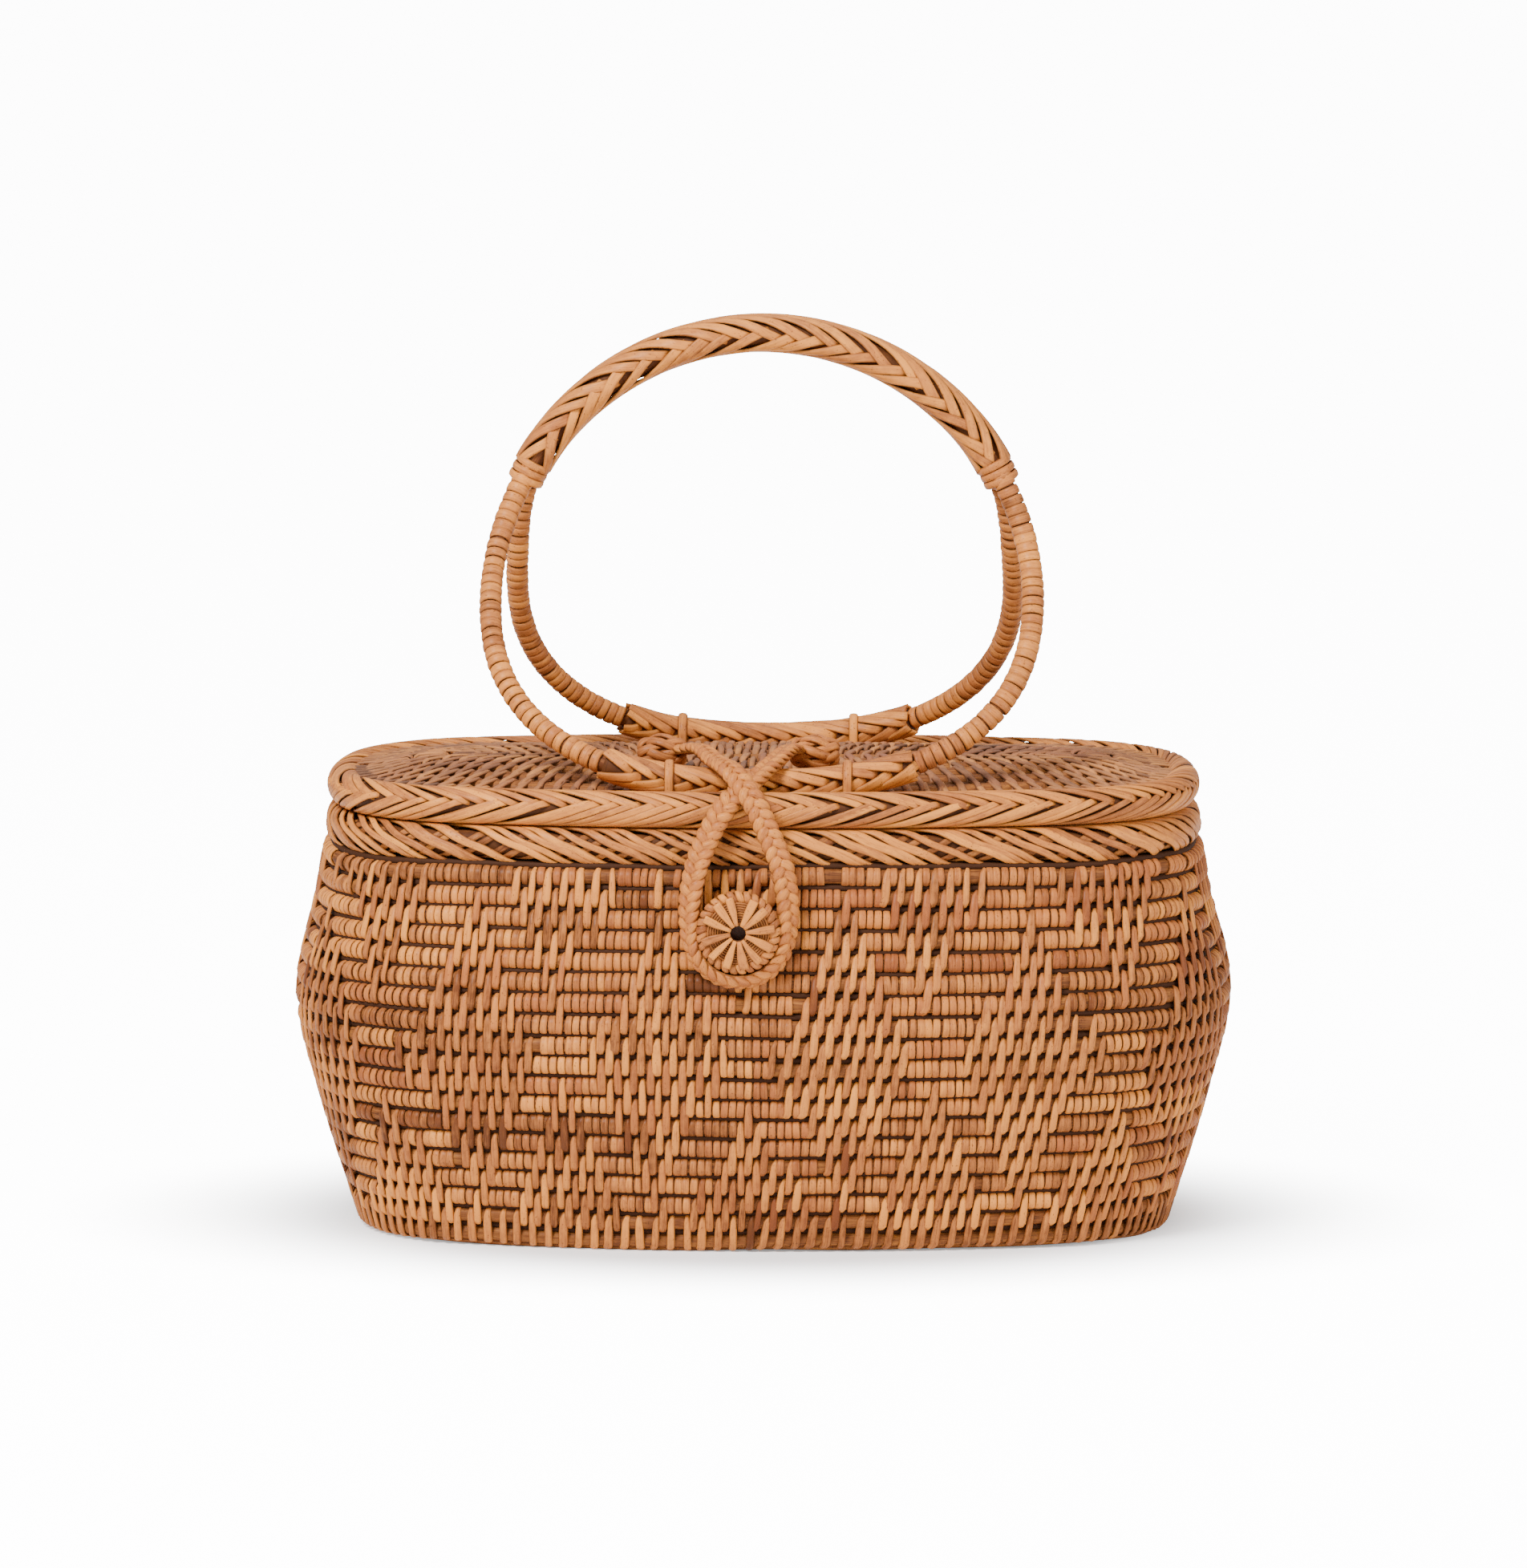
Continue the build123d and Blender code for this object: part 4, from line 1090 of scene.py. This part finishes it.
def strap_line():
    """The strap from the left knot over the lid's border, down the right side, round the button, up the
    left side, under itself and to the right knot, as a smooth line with the way that its face looks."""
    button = middle_of("button_edge")
    cx, cz = button[0] / MM, button[2] / MM
    left, right = middle_of("knot_left") / MM, middle_of("knot_right") / MM
    foot = FRONT_HOOP.points[0] / MM
    border_y, border_z = -HALF_DEPTH / MM + 5.35, (LID_BOTTOM + LID_TOP) / 2 / MM
    half, low_z = 14.3, lowest("closure_loop")[2] / MM + 3.7
    loop_y = lowest("closure_loop")[1] / MM
    # Each row is a place in mm, and the way that the face looks there.
    rows = np.array([
        (left[0] + 5.5, left[1] - 2, left[2] + 0.5, 0.1, 0, 1),
        (cx - 12.5, left[1] - 10.5, left[2] + 2.0, 0.2, -0.05, 1),
        (cx - 7.5, foot[1] - 1, foot[2] + 7.2, 0.15, -0.25, 1),
        (cx - 2.2, border_y - 1.0, border_z + 11.2, 0.1, -0.8, 0.9),
        (cx + 3.6, border_y - 8.6, border_z + 4.6, 0.1, -1, 0.35),
        (cx + 8.2, border_y - 10.6, border_z - 4.5, 0.15, -1, 0.12),
        (cx + 12.6, loop_y + 5.2, cz + 18, 0.3, -1, 0),
        (cx + half, loop_y + 3.8, cz + 5, 0.6, -0.8, 0),
        (cx + half * 0.92, loop_y + 3.1, cz - 5.5, 0.9, -0.5, -0.3),
        (cx + half * 0.56, loop_y + 2.6, low_z + 2.4, 0.6, -0.45, -0.8),
        (cx, loop_y + 2.5, low_z, 0, -0.4, -1),
        (cx - half * 0.56, loop_y + 2.6, low_z + 2.4, -0.6, -0.45, -0.8),
        (cx - half * 0.92, loop_y + 3.1, cz - 5.5, -0.9, -0.5, -0.3),
        (cx - half, loop_y + 3.8, cz + 5, -0.6, -0.8, 0),
        (cx - 12.4, loop_y + 5.2, cz + 18, -0.3, -1, 0),
        (cx - 8.0, border_y - 9.4, border_z - 4.5, -0.15, -1, 0.12),
        (cx - 3.2, border_y - 7.4, border_z + 3.0, -0.1, -1, 0.4),
        (cx + 2.6, border_y - 1.5, border_z + 7.7, -0.1, -0.5, 1),
        (cx + 9.5, foot[1] - 1, foot[2] + 7.0, -0.15, -0.2, 1),
        (cx + 13.5, right[1] - 10.5, right[2] + 1.8, -0.2, 0, 1),
        (right[0] - 5.5, right[1] - 2, right[2] + 0.5, -0.1, 0, 1),
    ])
    points, faces = rows[:, :3] * MM, unit(rows[:, 3:])
    knots = np.concatenate([[0], np.cumsum(np.linalg.norm(np.diff(points, axis=0), axis=1) ** 0.5)])
    dense = np.linspace(0, knots[-1], 1600)
    path = through(dense, knots, points)
    return Line(path, unit(through(dense, knots, faces)))


class BASKET_OT_closure(bpy.types.Operator):
    """Plaits the strap and its two knots, and makes the button that it loops round"""

    bl_idname = "basket.closure"
    bl_label = "Strap, knots and button"

    def execute(self, context):
        rng = np.random.default_rng(18)
        line = strap_line()
        heap = Heap()
        run = np.linspace(0, line.length, int(line.length / (0.62 * MM)))
        point, _, out, side = line.frame(run)
        three_plait(heap, point + out * 0.15 * MM, side, out, run, period=9.5 * MM, half=2.15 * MM,
                    rise=0.75 * MM, width=3.3 * MM, thick=1.15 * MM, rng=rng)
        few = slice(None, None, 3)
        # A flat backing ribbon under the plait, with a little painted shade.
        ribbons(heap, (point - out * 1.1 * MM)[None, few], out[None, few], 6.3 * MM, 1.1 * MM,
                np.array([[0.6, 0.1, 0.1]]), rng, closed=False, section=FLAT)
        strap = heap.build("closure_strap", "loop", ["closure_loop", "strap_tail_left", "strap_tail_right"],
                           "strap_plait", rattan("strap plait", context))
        strap.parent = None
        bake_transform(strap)
        for name in ("left", "right"):
            self.knot(context, name, rng)
        self.button(context, rng)
        return {"FINISHED"}

    def knot(self, context, name, rng):
        """A Turk's head of four leads and seven bights, on an egg that lies across the lid.

        Round the egg four times, the strip swings towards its ends seven times and rises 21 times."""
        centre = middle_of(f"knot_{name}")
        size = (highest(f"knot_{name}") - lowest(f"knot_{name}")) / 2
        core = size - 1.5 * MM
        heap = Heap()
        leads, bights, swing = 4, 7, math.radians(60)
        turn = full_turn(520)
        latitude = swing * np.cos(bights * turn)
        azimuth = leads * turn + (0.6 if name == "left" else 2.1)
        way = np.stack([np.sin(latitude), np.cos(latitude) * np.cos(azimuth),
                        np.cos(latitude) * np.sin(azimuth)], -1)
        out = unit(way / core)
        path = centre + way * core + out * (0.5 * MM + 0.55 * MM * np.sin(3 * bights * turn))[:, None]
        ribbons(heap, path[None], out[None], 2.9 * MM, 1.0 * MM, rim_tones(1, rng, pale=0.55), rng)
        # The egg under the strip, with 0.55 of painted shade.
        shift = np.linspace(-0.98, 0.98, 15)[:, None]
        ring = full_turn(16)
        wide = np.sqrt(1 - shift**2)
        points = centre + np.stack([
            (shift + 0 * ring) * (core[0] + 0.6 * MM),
            wide * np.cos(ring) * core[1], wide * np.sin(ring) * core[2]], -1)
        heap.add(points[None], np.zeros(3), np.array([0.4, 0.2, 0.55]), closed=False)
        heap.build(f"knot_plait_{name}", "lid", [f"knot_{name}"], "strap_plait",
                   rattan("strap plait", context))

    def button(self, context, rng):
        """A ribbed disc with twelve petals round a hole, bound all round its edge."""
        centre = middle_of("button_edge")
        radius, small = (highest("button_edge") - lowest("button_edge"))[:2] / 2
        ring_radius = radius - small
        front = lowest("button_star")[1]
        hole = 2.25 * MM

        def spot(turn, away, y):
            x, z = centre[0] + away * np.cos(turn), centre[2] + away * np.sin(turn)
            return np.stack([x, y + 0 * turn, z], -1)

        edge = Heap()
        binding = 29
        turn = full_turn(binding)
        around = full_turn(12)
        radial = np.stack([np.cos(turn), 0 * turn, np.sin(turn)], -1)
        tangent = np.stack([-np.sin(turn), 0 * turn, np.cos(turn)], -1)
        front_way = np.array([0, -1.0, 0])
        way = radial[:, None] * np.cos(around)[:, None] + front_way * np.sin(around)[:, None]
        path = spot(turn, ring_radius, centre[1])[:, None] + way * (small - 0.75 * MM)
        path = path + tangent[:, None] * (0.7 * MM * np.cos(around))[:, None]
        ribbons(edge, path, way, 2.35 * MM * rng.normal(1, 0.06, (binding, 1)), 0.75 * MM,
                rim_tones(binding, rng, pale=0.52, red=0.2), rng)
        dense = full_turn(90)
        out = np.stack([np.cos(dense), 0 * dense, np.sin(dense)], -1)
        forward = np.broadcast_to(front_way, out.shape)[None]
        # The rod under the binding gets 0.7 of painted shade.
        tube(edge, spot(dense, ring_radius, centre[1])[None], out[None], forward,
             small - 0.8 * MM, [0.3, 0.2, 0.7], rng)
        edge.build("button_binding", "basket", ["button_edge"], "button_weave", rattan("button", context))

        disc = Heap()
        back, face = highest("button_disc")[1], lowest("button_disc")[1] + 0.5 * MM
        profile = np.array([(hole, back), (hole, face), (ring_radius, face), (ring_radius, back)])
        points = np.stack([spot(dense, away, y) for away, y in profile], axis=1)
        # The disc gets 0.8 of painted shade, and the ribs on it 0.25.
        disc.add(points[None], np.zeros(3), np.array([0.3, 0.1, 0.8]))
        for away in np.arange(3.0, 9.4, 0.72) * MM:
            tube(disc, spot(dense, away, face - 0.05 * MM)[None], out[None], forward, 0.36 * MM,
                 [rng.normal(0.5, 0.1), 0.1, 0.25], rng, sides=6)
        disc.build("button_ribs", "basket", ["button_disc"], "button_weave", rattan("button", context))

        star = Heap()
        petals = 12
        turn = np.arange(petals) * 2 * np.pi / petals + rng.normal(0, 0.05, petals) + 0.15
        share = np.linspace(0, 1, 9)
        away = hole + 0.15 * MM + (ring_radius + 0.1 * MM - hole) * share
        sway = rng.normal(0, 0.05, (petals, 1)) * share + turn[:, None]
        depth = front + 0.75 * MM - 0.55 * MM * np.sin(np.pi * np.minimum(share * 1.15, 1))
        path = np.stack([centre[0] + away * np.cos(sway), np.broadcast_to(depth, sway.shape),
                         centre[2] + away * np.sin(sway)], -1)
        wide = (1.35 + 1.35 * smooth_share(share * 1.4)) * MM * rng.normal(1, 0.08, (petals, 1))
        ribbons(star, path, np.broadcast_to(front_way, path.shape), wide, 0.75 * MM,
                rim_tones(petals, rng, pale=0.78), rng, closed=False, section=FLAT)
        star.build("button_petals", "basket", ["button_star"], "button_weave", rattan("button", context))


class BASKET_OT_rods(bpy.types.Operator):
    """Finishes the rods that show as the frame made them"""

    bl_idname = "basket.rods"
    bl_label = "Plain rods"

    def execute(self, context):
        for name in ("mouth_hoop", "lid_hoop", "button_stem"):
            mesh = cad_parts[name].data
            mesh.materials.clear()
            mesh.materials.append(plain_rod("plain rods", context))
        return {"FINISHED"}


# ---- Materials ----
class Value:
    """A number socket that takes part in sums, which add Math nodes."""

    def __init__(self, tree, socket):
        self.tree, self.socket = tree, socket

    def math(self, operation, *others):
        return self.tree.node("ShaderNodeMath", {"operation": operation}, self, *others)[0]

    def __add__(self, other):
        return self.math("ADD", other)

    def __mul__(self, other):
        return self.math("MULTIPLY", other)

    def __sub__(self, other):
        return self.math("SUBTRACT", other)

    __radd__ = __add__


class Tree:
    """Builds a material's nodes."""

    def __init__(self, material):
        material.use_nodes = True
        self.nodes, self.links = material.node_tree.nodes, material.node_tree.links
        self.nodes.clear()

    def node(self, kind, settings, *values, **named):
        """Adds a node: its settings first, then its sockets' values or links. Returns its outputs."""
        made = self.nodes.new(kind)
        for key, value in settings.items():
            if key == "stops":
                ramp = made.color_ramp.elements
                while len(ramp) < len(value):
                    ramp.new(0.5)
                for stop, (place, colour) in zip(ramp, value):
                    stop.position, stop.color = place, colour
            else:
                setattr(made, key, value)
        for key, value in [*enumerate(values), *named.items()]:
            socket = made.inputs[key if isinstance(key, int) else key.replace("_", " ")]
            if isinstance(value, Value):
                self.links.new(value.socket, socket)
            else:
                socket.default_value = value
        return [Value(self, output) for output in made.outputs]

    def mix(self, factor, first, second, blend="MIX"):
        """A mix of two colours."""
        made = self.nodes.new("ShaderNodeMix")
        made.data_type, made.blend_type = "RGBA", blend
        made.clamp_factor = True
        for index, value in ((0, factor), (6, first), (7, second)):
            if isinstance(value, Value):
                self.links.new(value.socket, made.inputs[index])
            else:
                made.inputs[index].default_value = value
        return Value(self, made.outputs[2])

    def noise(self, vector, scale, detail=2.0, roughness=0.5):
        return self.node("ShaderNodeTexNoise", {}, Vector=vector, Scale=scale, Detail=detail,
                         Roughness=roughness)[0]

    def surface(self, colour, rough, gloss, height, strength, distance):
        """A shaded surface with bumps, as the material's output."""
        bump = self.node("ShaderNodeBump", {}, Strength=strength, Distance=distance, Height=height)[0]
        shaded = self.node("ShaderNodeBsdfPrincipled", {}, **{
            "Base Color": colour, "Roughness": rough, "Specular IOR Level": gloss, "Normal": bump})[0]
        self.node("ShaderNodeOutputMaterial", {}, shaded)


def rattan(name, context, grey=0.0, fibre=0.4):
    """Varnished rattan strip: pale or dark by its tone, streaked along its length, specked, darker at its
    edges, and darkened by its painted shade.

    The streaks are noise stretched along the strip, in the strip's own distance, breadth and number."""
    if name in bpy.data.materials:
        return bpy.data.materials[name]
    finish = context.scene.basket_finish
    material = bpy.data.materials.new(name)
    tree = Tree(material)
    lay = tree.node("ShaderNodeAttribute", {"attribute_name": "lay"})[1]
    tone = tree.node("ShaderNodeAttribute", {"attribute_name": "tone"})[1]
    along, across, number = tree.node("ShaderNodeSeparateXYZ", {}, lay)
    pale, red, painted_shade = tree.node("ShaderNodeSeparateXYZ", {}, tone)

    def grain(lengthwise, crosswise, seed, detail, roughness=0.5):
        """Noise with this many turns in a metre of strip and half its breadth, different for each strip."""
        at = tree.node("ShaderNodeCombineXYZ", {}, along * lengthwise, across * crosswise, number * seed)[0]
        return tree.noise(at, 1.0, detail, roughness)

    streak = grain(90.0, 3.4, 61.0, 3.0, 0.6)
    fine = grain(260.0, 9.0, 23.0, 2.0)
    blot = grain(330.0, 0.8, 37.0, 2.0)
    speck = grain(1500.0, 2.6, 97.0, 1.0)

    level = pale + (streak - 0.5) * (1.5 * fibre) + (fine - 0.5) * (1.3 * fibre) + (blot - 0.5) * 0.55
    colour = tree.node("ShaderNodeValToRGB", {"stops": [
        (0.08, (*finish.dark, 1)), (0.45, (*finish.middle, 1)), (0.85, (*finish.light, 1))]}, level)[0]
    colour = tree.mix(red, colour, (*finish.red, 1))
    mark = tree.node("ShaderNodeMapRange", {}, speck, 0.66, 0.74, 0.0, 0.65)[0]
    colour = tree.mix(mark, colour, (*finish.dark, 1))
    rim = across.math("ABSOLUTE").math("POWER", 6.0)
    colour = tree.mix(rim * 0.6, colour, (*finish.dark, 1))
    # Painted shade: the tone's third part darkens the colour towards the painted shade colour.
    colour = tree.mix(painted_shade, colour, (*finish.painted_shade, 1))
    if grey:
        colour = tree.mix(grey, colour, (0.22, 0.15, 0.11, 1))

    rough = 0.40 + (fine - 0.5) * 0.3 + painted_shade * 0.3
    height = streak * 0.5 + fine * 0.5 - mark * 0.3
    tree.surface(colour, rough, finish.gloss, height, 0.35, 0.15 * MM)
    return material


def plain_rod(name, context):
    """Bare cane in shadow: brown, with soft darker clouds and a matt face."""
    if name in bpy.data.materials:
        return bpy.data.materials[name]
    finish = context.scene.basket_finish
    material = bpy.data.materials.new(name)
    tree = Tree(material)
    where = tree.node("ShaderNodeTexCoord", {})[3]
    cloud = tree.noise(where, 60.0, 3.0)
    grain = tree.noise(where, 900.0, 2.0)
    # Painted shade: the colour is the painted shade colour clouded with the dark strip colour.
    colour = tree.mix(cloud, (*finish.painted_shade, 1), (*finish.dark, 1))
    rough = 0.5 + (grain - 0.5) * 0.3
    tree.surface(colour, rough, 0.25, grain, 0.4, 0.1 * MM)
    return material


# ---- The stage ----
class BASKET_OT_stage(bpy.types.Operator):
    """Sets the floor, the lights and the camera"""

    bl_idname = "basket.stage"
    bl_label = "Stage"

    def execute(self, context):
        scene = context.scene
        floor = bpy.data.meshes.new("floor")
        floor.from_pydata([(-40, -40, 0), (40, -40, 0), (40, 40, 0), (-40, 40, 0)], [], [(0, 1, 2, 3)])
        stand = bpy.data.objects.new("floor", floor)
        scene.collection.objects.link(stand)
        paper = bpy.data.materials.new("paper")
        tree = Tree(paper)
        seen = tree.node("ShaderNodeLightPath", {})[0]
        where = tree.node("ShaderNodeTexCoord", {})[3]
        # The floor glows for the camera only, and less within an oval of 15 by 10 cm round the basket: a
        # painted shadow, added to the lamps' real shadow on the floor.
        oval = (1 / 0.15, 1 / 0.10, 0)
        where = tree.node("ShaderNodeVectorMath", {"operation": "MULTIPLY"}, where, oval)[0]
        away = tree.node("ShaderNodeVectorMath", {"operation": "LENGTH"}, where)[1]
        smooth = {"interpolation_type": "SMOOTHSTEP"}
        # 0 inside the painted shadow, rising to 1 beyond it.
        beyond_painted_shadow = tree.node("ShaderNodeMapRange", smooth, away, 0.75, 1.5, 0.0, 1.0)[0]
        surface = tree.node("ShaderNodeBsdfPrincipled", {}, **{
            "Base Color": (0.96, 0.96, 0.96, 1), "Roughness": 0.9, "Specular IOR Level": 0.1,
            "Emission Color": seen * (beyond_painted_shadow * 12.0 + 0.3), "Emission Strength": 1.0})[0]
        tree.node("ShaderNodeOutputMaterial", {}, surface)
        floor.materials.append(paper)

        world = bpy.data.worlds.new("studio")
        scene.world = world
        sky = Tree(world)
        seen = sky.node("ShaderNodeLightPath", {})[0]
        glow = sky.node("ShaderNodeBackground", {}, (1, 1, 1, 1), seen * 14.0 + 0.5)[0]
        sky.node("ShaderNodeOutputWorld", {}, glow)

        middle = np.array([0, 0, 0.13])
        for name, way, away, size, power in (
            ("key", (-0.65, -1.0, 1.1), 1.5, 0.5, 39.0),
            ("fill", (1.3, -0.75, 0.5), 1.7, 1.2, 20.0),
            ("top", (0.0, 0.25, 1.0), 1.6, 1.2, 9.0),
        ):
            lamp = bpy.data.lights.new(name, "AREA")
            lamp.size, lamp.energy = size, power
            eye = middle + unit(np.array(way)) * away
            self.aim(scene, bpy.data.objects.new(name, lamp), eye, middle)

        camera = bpy.data.cameras.new("camera")
        # At its distance the camera sees an upright height of 0.4677 m.
        reach, view_height, sensor = 2.6, 0.467703349, 36.0
        camera.sensor_fit, camera.sensor_height, camera.sensor_width = "VERTICAL", sensor, sensor
        camera.lens = sensor * reach / view_height
        camera.clip_end = 100
        azimuth = math.radians(1.5)
        height = 0.136 + 0.126 * reach
        target = np.array([0.0, 0.0, 0.1297])
        flat = math.sqrt(reach**2 - (height - target[2]) ** 2)
        eye = np.array([math.sin(azimuth) * flat, -math.cos(azimuth) * flat, height])
        view = bpy.data.objects.new("camera", camera)
        self.aim(scene, view, eye, target)
        scene.camera = view
        return {"FINISHED"}

    @staticmethod
    def aim(scene, thing, eye, target):
        """Puts a lamp or camera at a place, looking at another."""
        scene.collection.objects.link(thing)
        thing.location = eye.tolist()
        thing.rotation_euler = Vector((target - eye).tolist()).to_track_quat("-Z", "Y").to_euler()


# ---- Panel and registration ----
GROUPS = ("wall", "base", "lid", "rims", "handle", "feet", "lashings", "closure", "rods", "stage")


class BASKET_PT_panel(bpy.types.Panel):
    """Lists the basket's pieces and sizes"""

    bl_idname = "BASKET_PT_panel"
    bl_label = "Basket"
    bl_space_type = "VIEW_3D"
    bl_region_type = "UI"
    bl_category = "Basket"

    def draw(self, context):
        for settings in (context.scene.basket_weave, context.scene.basket_finish):
            for name in settings.__annotations__:
                self.layout.prop(settings, name)
        for name in GROUPS:
            self.layout.operator(f"basket.{name}")


CLASSES = (BasketWeave, BasketFinish, BASKET_OT_wall, BASKET_OT_base, BASKET_OT_lid, BASKET_OT_rims,
           BASKET_OT_handle, BASKET_OT_feet, BASKET_OT_lashings, BASKET_OT_closure, BASKET_OT_rods,
           BASKET_OT_stage, BASKET_PT_panel)


def register():
    for cls in CLASSES:
        bpy.utils.register_class(cls)
    bpy.types.Scene.basket_weave = PointerProperty(type=BasketWeave)
    bpy.types.Scene.basket_finish = PointerProperty(type=BasketFinish)


def unregister():
    del bpy.types.Scene.basket_finish
    del bpy.types.Scene.basket_weave
    for cls in reversed(CLASSES):
        bpy.utils.unregister_class(cls)


def main():
    register()
    for name in GROUPS:
        getattr(bpy.ops.basket, name)()


if __name__ == "__main__":
    main()
